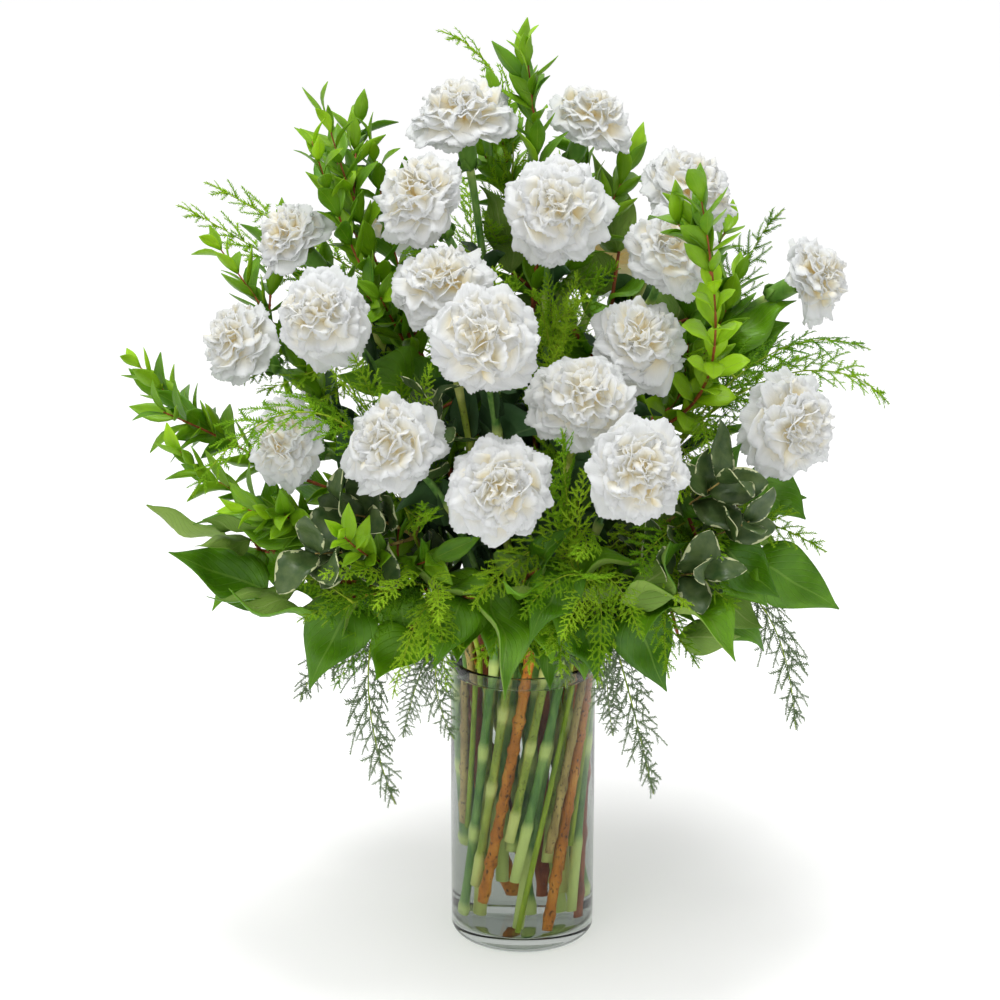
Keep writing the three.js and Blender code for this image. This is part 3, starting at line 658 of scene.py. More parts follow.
def tube(stations, sides, axis):
    """A circle drawn out along an axis ring by ring, in edit mode: (how far along, radius)."""
    bpy.ops.mesh.primitive_circle_add(
        vertices=sides, radius=1, fill_type="NGON", rotation=FACING_AXIS[axis]
    )
    piece = bpy.context.object
    bpy.ops.object.transform_apply(location=False, rotation=True, scale=False)
    open_up(piece)
    bpy.ops.mesh.select_all(action="SELECT")

    def widen(factor):
        bpy.ops.transform.resize(value=[1 if k == axis else factor for k in range(3)])

    widen(stations[0][1])
    for (place, radius), (next_place, next_radius) in zip(stations, stations[1:]):
        draw_out(*(next_place - place if k == axis else 0 for k in range(3)))
        widen(next_radius / radius)
    return piece


def stock(name, stations, sides, *materials):
    """A straight stem along X."""
    piece = tube(stations, sides, ALONG_X)
    face_outward()
    return finish_shape(piece, name, *materials)


COLUMN_RIPPLE = 5  # radians of a leaf's ripple from one column to the next
LENGTH_RIPPLE = 9  # and over its length


def blade(name, widths, columns, materials, arch=0.1, fold=0.1, wave=0.0, thick=0.012, twist=0.0):
    """A leaf one long and one wide at most along Y: a grid folded up beside its midrib, each row
    drawn in to its width and raised along an arch."""
    rows = len(widths) - 1
    bpy.ops.mesh.primitive_grid_add(x_subdivisions=columns, y_subdivisions=rows, size=1)
    piece = bpy.context.object
    open_up(piece)
    for k in range(columns + 1):
        place = k / columns - 0.5
        pick(piece, lambda co: abs(co.x - place) < 1e-4)
        ripple = wave * math.sin(COLUMN_RIPPLE * k) * (abs(place) > 0.49)
        bpy.ops.transform.translate(value=(0, 0, 2 * fold * abs(place) + ripple))
    for i, width in enumerate(widths):
        t = i / rows
        place = t - 0.5
        pick(piece, lambda co: abs(co.y - place) < 1e-4)
        middle = (0, place, 0)
        bpy.ops.transform.resize(value=(width, 1, width), center_override=middle)
        ripple = wave * math.sin(LENGTH_RIPPLE * t) * width
        bpy.ops.transform.translate(value=(0, 0, arch * 4 * t * (1 - t) + ripple))
    bpy.ops.mesh.select_all(action="SELECT")
    bpy.ops.transform.translate(value=(0, 0.5, 0))
    bpy.ops.mesh.remove_doubles(threshold=1e-3)
    bpy.ops.object.mode_set(mode="OBJECT")
    if twist:
        apply(piece, "SIMPLE_DEFORM", deform_method="TWIST", deform_axis="Y", angle=twist)
    finish_shape(piece, name, *materials)
    under = len(materials) - 1
    return apply(
        piece, "SOLIDIFY", thickness=thick, offset=-1, use_rim=True, material_offset=under
    )


# ---- materials --------------------------------------------------------------------------------
def surface(name, **sockets):
    """A new material with its shader's even values set, and a way to add and link its nodes."""
    material = bpy.data.materials.new(name)
    material.use_nodes = True
    tree = material.node_tree
    shader = tree.nodes["Principled BSDF"]
    for socket, value in sockets.items():
        shader.inputs[socket.replace("_", " ")].default_value = value
    return material, tree, shader


def add(tree, kind, links=None, **settings):
    """A node with its settings; links maps an input to a socket or to a value."""
    node = tree.nodes.new("ShaderNode" + kind)
    for key, value in settings.items():
        setattr(node, key, value)
    for key, value in (links or {}).items():
        if isinstance(value, bpy.types.NodeSocket):
            tree.links.new(value, node.inputs[key])
        else:
            node.inputs[key].default_value = value
    return node


def ramp(tree, factor, stops):
    """A colour ramp: (position, colour) for each stop."""
    node = add(tree, "ValToRGB", {"Fac": factor})
    band = node.color_ramp
    while len(band.elements) < len(stops):
        band.elements.new(0.5)
    for element, (place, colour) in zip(band.elements, stops):
        element.position = place
        element.color = (*colour, 1)
    return node.outputs["Color"]


def blend(tree, factor, first, second):
    return add(tree, "Mix", {0: factor, 6: first, 7: second}, data_type="RGBA").outputs[2]


def noise(tree, scale, detail=3, stretch=None):
    """Noise over the object's own coordinates, in features per metre."""
    where = add(tree, "TexCoord").outputs["Object"]
    if stretch:
        where = add(tree, "Mapping", {"Vector": where, "Scale": stretch}).outputs["Vector"]
    node = add(tree, "TexNoise", {"Vector": where, "Scale": scale, "Detail": detail})
    return node.outputs["Fac"]


def math_node(tree, operation, a, b=0.0, c=0.0):
    return add(tree, "Math", {0: a, 1: b, 2: c}, operation=operation).outputs[0]


def bump(tree, shader, height, strength, distance):
    node = add(tree, "Bump", {"Height": height, "Strength": strength, "Distance": distance})
    tree.links.new(node.outputs["Normal"], shader.inputs["Normal"])
    return node.outputs["Normal"]


def let_light_through(tree, shader, colour, share, normal=None):
    """Mixes in a share of light that passes through the thin sheet."""
    through = add(tree, "BsdfTranslucent", {"Color": colour})
    if normal is not None:
        tree.links.new(normal, through.inputs["Normal"])
    both = add(tree, "MixShader", {0: share, 1: shader.outputs[0], 2: through.outputs[0]})
    tree.links.new(both.outputs[0], tree.nodes["Material Output"].inputs["Surface"])


def split_uv(tree):
    where = add(tree, "UVMap", uv_map="UVMap")
    parts = add(tree, "SeparateXYZ", {0: where.outputs[0]})
    return parts.outputs[0], parts.outputs[1]


def off_midrib(tree, u):
    """How far aside of a leaf's midrib, in leaf widths."""
    return math_node(tree, "ABSOLUTE", math_node(tree, "SUBTRACT", u, 0.5))


def times(tree, a, b):
    return math_node(tree, "MULTIPLY", a, b)


def plus(tree, a, factor, b):
    """b, and a times a factor."""
    return math_node(tree, "MULTIPLY_ADD", a, factor, b)


def colour_with(tree, shader, colour):
    tree.links.new(colour, shader.inputs["Base Color"])


def mark(tree, name):
    return add(tree, "Attribute", attribute_name=name, attribute_type="GEOMETRY").outputs["Fac"]


def see_through(name, ratio, tint_and_painted_shade, gloss, shade):
    """A clear body; ratio is its refractive index over that of what lies against it. Its tint
    darkens what is seen through it: partly the body's own tint, partly painted shade. Lamps and
    soft light reach what stands behind it, shaded as they pass."""
    material, tree, shader = surface(
        name, Base_Color=(*tint_and_painted_shade, 1), Roughness=0.0, IOR=ratio,
        Transmission_Weight=1.0, Specular_Tint=(gloss, gloss, gloss, 1),
    )
    path = add(tree, "LightPath").outputs
    passing = math_node(tree, "MAXIMUM", path["Is Shadow Ray"], path["Is Diffuse Ray"])
    film = add(tree, "BsdfTransparent", {"Color": (*shade, 1)})
    both = add(tree, "MixShader", {0: passing, 1: shader.outputs[0], 2: film.outputs[0]})
    tree.links.new(both.outputs[0], tree.nodes["Material Output"].inputs["Surface"])
    return material


PAINTED_PETAL_GLOW = 0.11  # painted glow: an emission, standing in for light scattered within the petals, that brightens the creases


def white_petal():
    """White, cream towards the claw and in the inner layers, partly the petals' own tint and partly
    painted warm light of the creases; some petals warmer, with fine veins fanning to the edge, and
    a painted glow that brightens the creases.
    """
    material, tree, shader = surface(
        "white_petal", Roughness=0.7, Sheen_Weight=0.1, Emission_Strength=PAINTED_PETAL_GLOW,
        Specular_IOR_Level=0.2,
    )
    u, v = split_uv(tree)
    depth = math_node(tree, "ADD", v, times(tree, noise(tree, 160), 0.2))
    depth = plus(tree, mark(tree, "age"), -0.08, depth)
    depth = plus(tree, mark(tree, "core"), -0.34, depth)
    colour = ramp(tree, depth, [
        (0.15, (0.88, 0.77, 0.47)), (0.42, (0.91, 0.855, 0.69)),
        (0.62, (0.895, 0.887, 0.84)), (0.80, (0.88, 0.89, 0.893)),
    ])
    colour_with(tree, shader, colour)
    # Painted glow: cream and strong in the creases and inner layers, near black at the edges.
    glow = ramp(tree, depth, [
        (0.2, (1.0, 0.88, 0.50)), (0.5, (1.0, 0.90, 0.60)), (0.72, (0.42, 0.40, 0.30)),
        (0.88, (0.08, 0.085, 0.09)),
    ])
    tree.links.new(glow, shader.inputs["Emission Color"])
    veins = math_node(tree, "SINE", times(tree, u, 190))
    fine = plus(tree, noise(tree, 900), 1.6, veins)
    normal = bump(tree, shader, fine, 0.14, 0.0004)
    let_light_through(tree, shader, colour, 0.5, normal)
    return material


def green_skin(name, stops, roughness, scale=220, depth=0.35, spots=0.0, pale=None):
    """A stem's skin: streaks of colour, a finely uneven surface, dark spots, and a paler colour
    where the piece's own mark says so."""
    material, tree, shader = surface(name, Roughness=roughness, Specular_IOR_Level=0.25)
    streaks = noise(tree, scale, 4, stretch=(1, 1, 0.22))
    colour = ramp(tree, streaks, stops)
    if spots:
        uneven = noise(tree, 620, 2, stretch=(1, 1, 0.6))
        dots = times(tree, math_node(tree, "GREATER_THAN", uneven, 0.62), spots)
        colour = blend(tree, dots, colour, (0.03, 0.012, 0.004, 1))
    if pale:
        colour = blend(tree, mark(tree, "pale"), colour, (*pale, 1))
    colour_with(tree, shader, colour)
    bump(tree, shader, noise(tree, scale * 5, 3, stretch=(1, 1, 0.3)), depth, 0.0006)
    return material


SIDE_VEINS = 9.0  # over a leaf's length


def leaf_skin(name, young, old, rib, roughness, veins):
    """A leaf's skin over its own map: lighter midrib and side veins, young leaves brighter."""
    material, tree, shader = surface(name, Roughness=roughness, Specular_IOR_Level=0.36)
    u, v = split_uv(tree)
    aside = off_midrib(tree, u)
    slant = plus(tree, aside, -0.9, v)
    lines = math_node(tree, "SINE", times(tree, slant, SIDE_VEINS * 2 * math.pi))
    lines = math_node(tree, "POWER", math_node(tree, "MAXIMUM", lines, 0.0), 12.0)
    middle = math_node(tree, "LESS_THAN", aside, 0.02)
    net = math_node(tree, "MAXIMUM", times(tree, lines, veins), middle)
    age = plus(tree, noise(tree, 90), 0.5, mark(tree, "age"))
    between = tuple(mix(a, b, 0.45) for a, b in zip(old, young))
    body = ramp(tree, age, [(0.15, old), (0.62, between), (1.0, young)])
    colour = blend(tree, times(tree, net, 0.5), body, (*rib, 1))
    colour_with(tree, shader, colour)
    puffed = plus(tree, noise(tree, 1400), 0.35, times(tree, net, -1.0))
    normal = bump(tree, shader, puffed, 0.7, 0.001)
    let_light_through(tree, shader, colour, 0.3, normal)
    return material


def cream_edged_leaf(name):
    """Grey-green with an uneven cream edge, which its own map places."""
    material, tree, shader = surface(name, Roughness=0.42)
    aside = off_midrib(tree, split_uv(tree)[0])
    edge = math_node(tree, "GREATER_THAN", plus(tree, noise(tree, 150), 0.5, aside), 0.73)
    green = ramp(tree, noise(tree, 130), [
        (0.3, (0.032, 0.078, 0.016)), (0.7, (0.10, 0.155, 0.042)),
    ])
    colour = blend(tree, edge, green, (0.62, 0.66, 0.36, 1))
    colour_with(tree, shader, colour)
    normal = bump(tree, shader, noise(tree, 900), 0.4, 0.0005)
    let_light_through(tree, shader, colour, 0.2, normal)
    return material


def needle_green():
    """Soft green, brighter at the young tips."""
    material, tree, shader = surface("needle_green", Roughness=0.6, Specular_IOR_Level=0.15)
    age = plus(tree, noise(tree, 120), 0.7, mark(tree, "age"))
    colour = ramp(tree, age, [
        (0.12, (0.27, 0.37, 0.20)), (0.34, (0.11, 0.30, 0.015)), (0.65, (0.27, 0.55, 0.015)),
        (1.0, (0.54, 0.82, 0.04)),
    ])
    colour_with(tree, shader, colour)
    let_light_through(tree, shader, colour, 0.35)
    return material


GLASS_INDEX = 1.5
WATER_INDEX = 1.333
# The glass and water tints are darker than clear glass and water: painted shade over what is seen
# through them.
GLASS_LOOK = {"tint_and_painted_shade": (0.70, 0.72, 0.71), "gloss": 0.3, "shade": (0.93, 0.95, 0.94)}
WATER_LOOK = {"tint_and_painted_shade": (0.77, 0.79, 0.76), "gloss": 0.35, "shade": (0.95, 0.97, 0.96)}
# The foot's glass is darker still: partly its thickness, partly painted shade of the floor's shadow
# under the vase.
FOOT_LOOK_PAINTED_SHADE = {**GLASS_LOOK, "tint_and_painted_shade": (0.50, 0.53, 0.52)}
GLASS = see_through("clear_glass", GLASS_INDEX, **GLASS_LOOK)
WET_GLASS = see_through("wet_glass", GLASS_INDEX / WATER_INDEX, **GLASS_LOOK)
FOOT_GLASS_PAINTED_SHADE = see_through("thick_foot_glass_painted_shade", GLASS_INDEX, **FOOT_LOOK_PAINTED_SHADE)
WATER = see_through("clear_water", WATER_INDEX, **WATER_LOOK)
WATER_AT_GLASS = see_through("water_at_glass", 1.0, **WATER_LOOK)  # the wet glass bends light there
PETAL = white_petal()
CARNATION_STEM = green_skin(
    "blue_green_stem", [(0.3, (0.07, 0.20, 0.04)), (0.7, (0.25, 0.44, 0.10))], 0.45,
    pale=(0.80, 0.90, 0.28),
)
YELLOW_GREEN_STEM = green_skin(
    "yellow_green_stem", [(0.3, (0.20, 0.30, 0.03)), (0.7, (0.48, 0.56, 0.08))], 0.45,
    pale=(0.85, 0.88, 0.30), spots=0.4,
)
CALYX_SKIN = green_skin(
    "calyx_green", [(0.3, (0.07, 0.20, 0.02)), (0.75, (0.20, 0.38, 0.06))], 0.45, 140
)
WOODY = green_skin(
    "orange_brown_bark",
    [(0.25, (0.30, 0.09, 0.01)), (0.5, (0.62, 0.21, 0.02)), (0.75, (0.80, 0.38, 0.06))],
    0.5, 160, 0.8, 0.8,
)
RED_TWIG = green_skin(
    "red_brown_twig", [(0.3, (0.17, 0.035, 0.015)), (0.7, (0.44, 0.12, 0.035))], 0.5
)
GREY_TWIG = green_skin(
    "grey_brown_twig", [(0.3, (0.30, 0.20, 0.06)), (0.7, (0.62, 0.46, 0.15))], 0.6, 200, 0.6, 0.7
)
WIRY = green_skin("wiry_green_stem", [(0.3, (0.20, 0.32, 0.012)), (0.7, (0.42, 0.55, 0.03))], 0.5)
NARROW_LEAF = leaf_skin(
    "blue_green_leaf", (0.13, 0.25, 0.09), (0.035, 0.10, 0.035), (0.18, 0.30, 0.12), 0.5, 0.0
)
MYRTLE_LEAF = leaf_skin(
    "glossy_small_leaf", (0.42, 0.72, 0.014), (0.075, 0.26, 0.008), (0.34, 0.56, 0.05), 0.3, 0.12
)
SALAL_TOP = leaf_skin(
    "glossy_large_leaf", (0.22, 0.50, 0.012), (0.025, 0.125, 0.006), (0.28, 0.50, 0.07), 0.28, 0.4
)
SALAL_UNDER = leaf_skin(
    "pale_leaf_underside", (0.32, 0.48, 0.08), (0.16, 0.31, 0.04), (0.42, 0.54, 0.16), 0.6, 0.5
)
CREAM_EDGED = cream_edged_leaf("cream_edged_leaf")
NEEDLE = needle_green()


# ---- vase and water ---------------------------------------------------------------------------
VASE_SIDES = 96
FOOT_RING = 14  # width of the ring that the vase stands on
FOOT_HOLLOW = 1.2
LIP_ROUNDING = 1.2
WET_RISE = 1.2  # how far the water climbs the wall
WET_EDGE = [(0.7, 0.9), (1.6, 0.3)]  # how far in, and how far it drops there
WATER_OVERLAP = 0.15  # into the glass
ON_LEVEL = 1e-6  # metres
HEEL_SEGMENTS = 6
LIP_SEGMENTS = 4


def cylinder(radius, low, high):
    bpy.ops.mesh.primitive_cylinder_add(
        vertices=VASE_SIDES, radius=radius, depth=high - low, location=(0, 0, (low + high) / 2)
    )
    bpy.ops.object.transform_apply(location=True, rotation=False, scale=False)
    piece = bpy.context.object
    open_up(piece)
    return piece


def at_level(level):
    return lambda co: abs(co.z - level) < ON_LEVEL


def ring_at(level, radius):
    def wanted(co):
        return at_level(level)(co) and abs(math.hypot(co.x, co.y) - radius) < 2e-4
    return wanted


def round_off(piece, wanted, offset, segments):
    """Bevels the edges between the wanted vertices."""
    bpy.ops.mesh.select_mode(type="VERT")
    pick(piece, wanted)
    bpy.ops.mesh.select_mode(type="EDGE")
    bpy.ops.mesh.bevel(offset=offset, segments=segments, affect="EDGES", clamp_overlap=True)


def glass_vase():
    """A cylinder pressed hollow from above, its rim fire-polished and its thick foot rounded."""
    low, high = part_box("vase")
    radius = (high.x - low.x) / 2
    inner = radius - VASE["wall"] * MM
    floor = VASE["floor"] * MM
    piece = cylinder(radius, low.z, high.z)
    pick(piece, at_level(high.z))
    bpy.ops.mesh.inset(thickness=VASE["wall"] * MM)
    level = WATER_LEVEL * MM
    draw_out(0, 0, level - high.z)
    draw_out(0, 0, floor - level)
    pick(piece, at_level(low.z))
    bpy.ops.mesh.inset(thickness=FOOT_RING * MM)
    bpy.ops.transform.translate(value=(0, 0, FOOT_HOLLOW * MM))
    round_off(piece, ring_at(floor, inner), VASE["heel"] * MM, HEEL_SEGMENTS)
    round_off(piece, ring_at(low.z, radius), VASE["heel"] * MM, HEEL_SEGMENTS)
    round_off(piece, ring_at(high.z, inner), LIP_ROUNDING * MM, LIP_SEGMENTS)
    round_off(piece, ring_at(high.z, radius), LIP_ROUNDING * MM, LIP_SEGMENTS)
    finish_shape(piece, "glass_vase", GLASS, WET_GLASS, FOOT_GLASS_PAINTED_SHADE)
    for face in piece.data.polygons:
        middle = face.center
        inside = math.hypot(middle.x, middle.y) < inner + 1e-5 and middle.z > floor - 1e-5
        # Faces low in the foot take the darker glass, with its painted shade.
        face.material_index = 2 if middle.z < floor * 0.8 else int(inside and middle.z < level)
    bpy.ops.object.shade_smooth_by_angle(angle=math.radians(40))
    return piece


def clear_water_body():
    """Fills the vase to its level, held up a little where it wets the wall."""
    overlap = WATER_OVERLAP * MM
    inner = (VASE["radius"] - VASE["wall"]) * MM + overlap
    low = VASE["floor"] * MM - overlap
    level = WATER_LEVEL * MM
    piece = cylinder(inner, low, level + WET_RISE * MM)
    pick(piece, at_level(level + WET_RISE * MM))
    for inward, drop in WET_EDGE:
        bpy.ops.mesh.inset(thickness=inward * MM)
        bpy.ops.transform.translate(value=(0, 0, -drop * MM))
    round_off(piece, ring_at(low, inner), VASE["heel"] * MM, HEEL_SEGMENTS)
    finish_shape(piece, "clear_water", WATER, WATER_AT_GLASS)
    for face in piece.data.polygons:
        face.material_index = int(face.center.z < level - 1e-4 or abs(face.normal.z) < 0.1)
    bpy.ops.object.shade_smooth_by_angle(angle=math.radians(50))
    return piece


# ---- carnations -------------------------------------------------------------------------------
# Each layer: petals, reach and half width in bloom radii, lean from the axis at the claw and at
# the edge in degrees, where it turns from one to the other, depth of the broad waves and of the
# frill along the edge, how far petals fold along their middle, and grid columns and rows.
LAYER_KEYS = ("count", "reach", "half", "lean", "turn", "wave", "frill", "fold", "grid")
LAYERS = [dict(zip(LAYER_KEYS, row)) for row in [
    (7, 1.18, 0.60, (24, 114), 0.40, 0.066, 0.026, 0.06, (30, 7)),
    (8, 1.15, 0.58, (17, 100), 0.45, 0.076, 0.029, 0.09, (30, 7)),
    (8, 1.10, 0.54, (12, 87), 0.51, 0.086, 0.032, 0.13, (28, 6)),
    (7, 1.06, 0.47, (8, 73), 0.58, 0.096, 0.034, 0.19, (26, 6)),
    (7, 1.02, 0.40, (4, 58), 0.65, 0.100, 0.034, 0.26, (22, 6)),
    (5, 1.00, 0.34, (0, 44), 0.71, 0.100, 0.032, 0.30, (20, 6)),
    (4, 0.96, 0.28, (-8, 31), 0.72, 0.096, 0.030, 0.34, (16, 5)),
]]
PETAL_VARIANTS = 4
TURN_WIDTH = 0.5
PETAL_PATH = np.linspace(0, 1.3, 53)  # shares of a petal's reach where its lean is worked out
LEAN_SPREAD = 7  # degrees
ANY_PHASE = (0, 6.3)
BROAD_WAVES = [(0.8, 1.4), (1.9, 2.8)]  # half waves from the middle to a side, least and most
FRILL_WAVES = (4.2, 6.0)
LOBE_WAVES = (1.2, 2.2)
TOOTH_DEPTH = 0.036
CLAW_HALF = 0.05
ROW_CROWDING = 1.25  # above 1, grid rows crowd towards the edge
EDGE_ROUND, EDGE_CORNER, EDGE_LOBE = 0.09, 0.27, 0.05
PETAL_THICKNESS = 0.011


def smooth_step(x):
    x = np.clip(x, 0, 1)
    return x * x * (3 - 2 * x)


def petal(name, layer):
    """One petal in bloom radii: a claw rises from the seat and the broad limb turns out along Y,
    ruffled and finely toothed at its edge."""
    columns, rows = layer["grid"]
    bpy.ops.mesh.primitive_grid_add(x_subdivisions=columns, y_subdivisions=rows, size=2)
    piece = bpy.context.object
    first, last = (
        math.radians(a + draw.uniform(-LEAN_SPREAD, LEAN_SPREAD)) for a in layer["lean"]
    )
    turning = (PETAL_PATH - layer["turn"]) / TURN_WIDTH + 0.5
    leans = first + (last - first) * smooth_step(turning)
    steps = np.diff(PETAL_PATH)
    out = np.concatenate([[0], np.cumsum(np.sin(leans[:-1]) * steps)])
    up = np.concatenate([[0], np.cumsum(np.cos(leans[:-1]) * steps)])
    *waves, frill, lobes = [
        (draw.uniform(*count), draw.uniform(*ANY_PHASE))
        for count in (*BROAD_WAVES, FRILL_WAVES, LOBE_WAVES)
    ]
    teeth = [draw.uniform(0.2, 1.0) * (TOOTH_DEPTH if k % 2 else 0.0) for k in range(columns + 1)]
    fold = draw.uniform(-0.5, 1.0) * layer["fold"]
    curl = draw.uniform(-0.03, 0.09)
    for v in piece.data.vertices:
        s = v.co.x
        t = 1 - (1 - (v.co.y + 1) / 2) ** ROW_CROWDING
        k = round((s + 1) / 2 * columns)
        lobe = EDGE_LOBE * math.sin(lobes[0] * math.pi * s + lobes[1])
        edge = 1 - EDGE_ROUND * s * s - EDGE_CORNER * s ** 8 + lobe
        if t > 0.99:
            edge -= teeth[k]
        u = t * edge
        lean = float(np.interp(u, PETAL_PATH, leans))
        widen = float(smooth_step((t - 0.1) / 0.62))
        half = mix(CLAW_HALF, layer["half"], widen)
        lift = fold * (abs(s) - 0.4) * widen * 0.5 + curl * max(0, t - 0.7) * (1 - s * s)
        for power, (count, phase) in zip((1.0, 0.6), waves):
            wave = math.sin(count * math.pi * s + phase + 0.9 * t)
            lift += t ** 1.8 * layer["wave"] * power * wave
        rim = max(0.0, (t - 0.5) / 0.5) ** 1.9
        lift += rim * layer["frill"] * math.sin(frill[0] * math.pi * s + frill[1] + 1.5 * t)
        y = float(np.interp(u, PETAL_PATH, out)) * layer["reach"] - math.cos(lean) * lift
        z = float(np.interp(u, PETAL_PATH, up)) * layer["reach"] + math.sin(lean) * lift
        v.co = (s * half * (1 - 0.08 * abs(math.sin(3 * s + waves[0][1])) * t), y, z)
    finish_shape(piece, name, PETAL)
    return apply(piece, "SOLIDIFY", thickness=PETAL_THICKNESS, offset=0, use_rim=True)


CALYX_RINGS = [(0, 3.0), (1.5, 4.4), (5, 5.7), (10, 6.3), (16, 6.3), (21, 6.1), (24, 6.3)]
CALYX_SIDES = 20
CALYX_WALL = 0.7
TOOTH_SPACING = 72  # degrees between teeth
TOOTH_RISE = 4.5
SCALE_WIDTHS = [0.7, 1.0, 0.75, 0.02]


def calyx():
    """A tube along Y with five teeth round its mouth, and a collar of short scales at its foot."""
    piece = tube(CALYX_RINGS, CALYX_SIDES, ALONG_Y)
    bpy.ops.mesh.inset(thickness=CALYX_WALL)
    bpy.ops.transform.translate(value=(0, -5, 0))

    def is_tooth(co):
        turn = math.degrees(math.atan2(co.z, co.x)) % TOOTH_SPACING
        at_mouth = co.y > 23.5 and math.hypot(co.x, co.z) > 5.2
        return at_mouth and min(turn, TOOTH_SPACING - turn) < 12

    pick(piece, is_tooth)
    bpy.ops.transform.translate(value=(0, TOOTH_RISE, 0))
    bpy.ops.transform.resize(value=(1.16, 1, 1.16), center_override=(0, 0, 0))
    face_outward()
    parts = [finish_shape(piece, "calyx_tube", CALYX_SKIN)]
    scale = blade("calyx_scale", SCALE_WIDTHS, 2, [CALYX_SKIN], arch=0.16, fold=0.16, thick=0.06)
    for turn in range(4):
        aside = math.radians(90 * turn + 20)
        out = vec(math.cos(aside), 0, math.sin(aside))
        length = 11 if turn % 2 else 8.5
        matrix = seated(out * 3.9 + vec(0, 0.5, 0), vec(0, 1, 0) + out * 0.28, out, (7, length, 9))
        parts.append(copied(scale, in_mm(matrix)))
    bpy.data.objects.remove(scale)
    return joined("calyx", parts)


FULLER = {"carnation_15": 1.13, "carnation_08": 1.08}
OUTER_LAYERS = 3  # these sag under their own weight


def any_of(shapes):
    return shapes[draw.randrange(len(shapes))]


def bloom(name, petals, place):
    """All the petals of one carnation, layer by layer round its axis."""
    facing = place["facing"]
    across = perpendicular(facing)
    size = place["radius"] * draw.uniform(0.97, 1.04) * FULLER.get(name, 1)
    parts = []
    for number, layer in enumerate(LAYERS):
        start = draw.uniform(0, 2 * math.pi)
        for i in range(layer["count"]):
            turn = start + 2 * math.pi * (i + draw.uniform(-0.28, 0.28)) / layer["count"]
            out = turned(across, facing, turn)
            weight = 1 if number < OUTER_LAYERS else 0.3
            sag = 0.16 * -out[2] * weight + draw.uniform(-0.20, 0.22)
            ahead = out * math.cos(sag) - facing * math.sin(sag)
            face = facing * math.cos(sag) + out * math.sin(sag)
            roll = draw.uniform(-0.13, 0.13) * (1 + 0.8 * number)
            face = turned(face, ahead, roll)
            aside = np.cross(ahead, facing) * draw.uniform(-0.03, 0.03) * number * size
            seat = place["seat"] + out * 1.2 + facing * 0.5 * number + aside
            reach = size * draw.uniform(0.84, 1.08)
            width = size * draw.uniform(0.8, 1.12)
            matrix = seated(seat, ahead, face, (width, reach, size * 0.96))
            core = number / (len(LAYERS) - 1)
            parts.append(copied(any_of(petals[number]), matrix, age=draw.uniform(0, 1), core=core))
    return joined(name, parts)


JOINTS = 6
JOINT_GIRTH = [(0, 1.22), (0.014, 1.32), (0.03, 1.04), (0.07, 0.96), (0.13, 1.0), (0.152, 1.1)]
PALE_REACH = 2.4  # percent of the stem's length, to each side of a joint
PALE_CUT = 0.7  # how pale the cut end is
JOINTED_SIDES = 10
KNOTTY_SIDES = 9
KNOT = 0.32
RINGS_TO_A_KNOT = 5


def jointed_stem(name, phase, material):
    """A straight carnation stem: smooth lengths between swollen joints, paler round each joint."""
    stations = [(0, 1.15)]
    for joint in range(JOINTS):
        for step, radius in JOINT_GIRTH:
            place = 100 * ((joint + phase) / JOINTS + step)
            if 0.5 < place < 99.5:
                stations.append((place, radius))
    stations.append((100, 1.1))
    piece = stock(name, stations, JOINTED_SIDES, material)
    pale = piece.data.attributes.new("pale", "FLOAT", "POINT")
    for v, value in zip(piece.data.vertices, pale.data):
        places = [100 * (joint + phase) / JOINTS for joint in range(-1, JOINTS + 1)]
        far = min(abs(v.co.x - place - 0.6) for place in places)
        value.value = max(0.0, 1 - far / PALE_REACH) if v.co.x > 1 else PALE_CUT
    return piece


def knotty_stem(name, material, knots, rough):
    """A straight woody stem with uneven girth and a knot at each old leaf."""
    stations = []
    count = knots * RINGS_TO_A_KNOT
    for i in range(count + 1):
        radius = draw.uniform(1 - rough, 1 + rough)
        if i % RINGS_TO_A_KNOT == 2:
            radius += KNOT
        stations.append((100 * i / count, radius))
    return stock(name, stations, KNOTTY_SIDES, material)


def grown(shape, line, first, last, roll=0.0):
    """A stem or twig of a shape along a line, its radius tapering from first to last."""
    steps = len(line) - 1
    return bent(shape, line, [mix(first, last, i / steps) for i in range(steps + 1)], roll)


def any_roll():
    return draw.uniform(0, 6)


def piece_name(body):
    kind, _, number = body["name"].rpartition("_")
    return f"carnation_stem_{number}" if kind == "stem" else f"{kind}_branch_{number}"


NARROW_LEAF_SHARES = (0.52, 0.66, 0.8)  # of the stem's length
NARROW_LEAF_LENGTH = 88
NARROW_LEAF_WIDTH = 5.6
SHORTEST_NARROW_LEAF = 20
LOWEST_NARROW_LEAF = VASE["height"] + 20


def carnation_stem(body, shapes):
    """One stem with its calyx, and pairs of narrow leaves at its upper joints."""
    facing = body["bloom"]["facing"]
    line = np.concatenate([body["line"], [body["end"] + facing * CALYX_OVERLAP]])
    radius = STEM["carnation"]
    stem = shapes["jointed"][body["number"] % 3]
    parts = [grown(stem, line, radius, radius * 0.9, any_roll())]
    parts.append(copied(shapes["calyx"], seated(body["end"], facing, perpendicular(facing))))
    for share in NARROW_LEAF_SHARES:
        place, ahead = along(line, share)
        out = turned(perpendicular(ahead), ahead, draw.uniform(0, 3))
        for way in (1, -1):
            size = draw.uniform(0.75, 1.1) * (1.15 - 0.5 * share) * NARROW_LEAF_LENGTH
            direction = ahead * 0.75 + out * way * 0.6
            if size < SHORTEST_NARROW_LEAF or place[2] < LOWEST_NARROW_LEAF:
                continue
            face = ahead - direction * 0.5
            matrix = seated(place + out * way, direction, face, (NARROW_LEAF_WIDTH, size, size))
            parts.append(copied(any_of(shapes["narrow"]), matrix, age=draw.uniform(0, 0.5)))
    return joined(piece_name(body), parts)


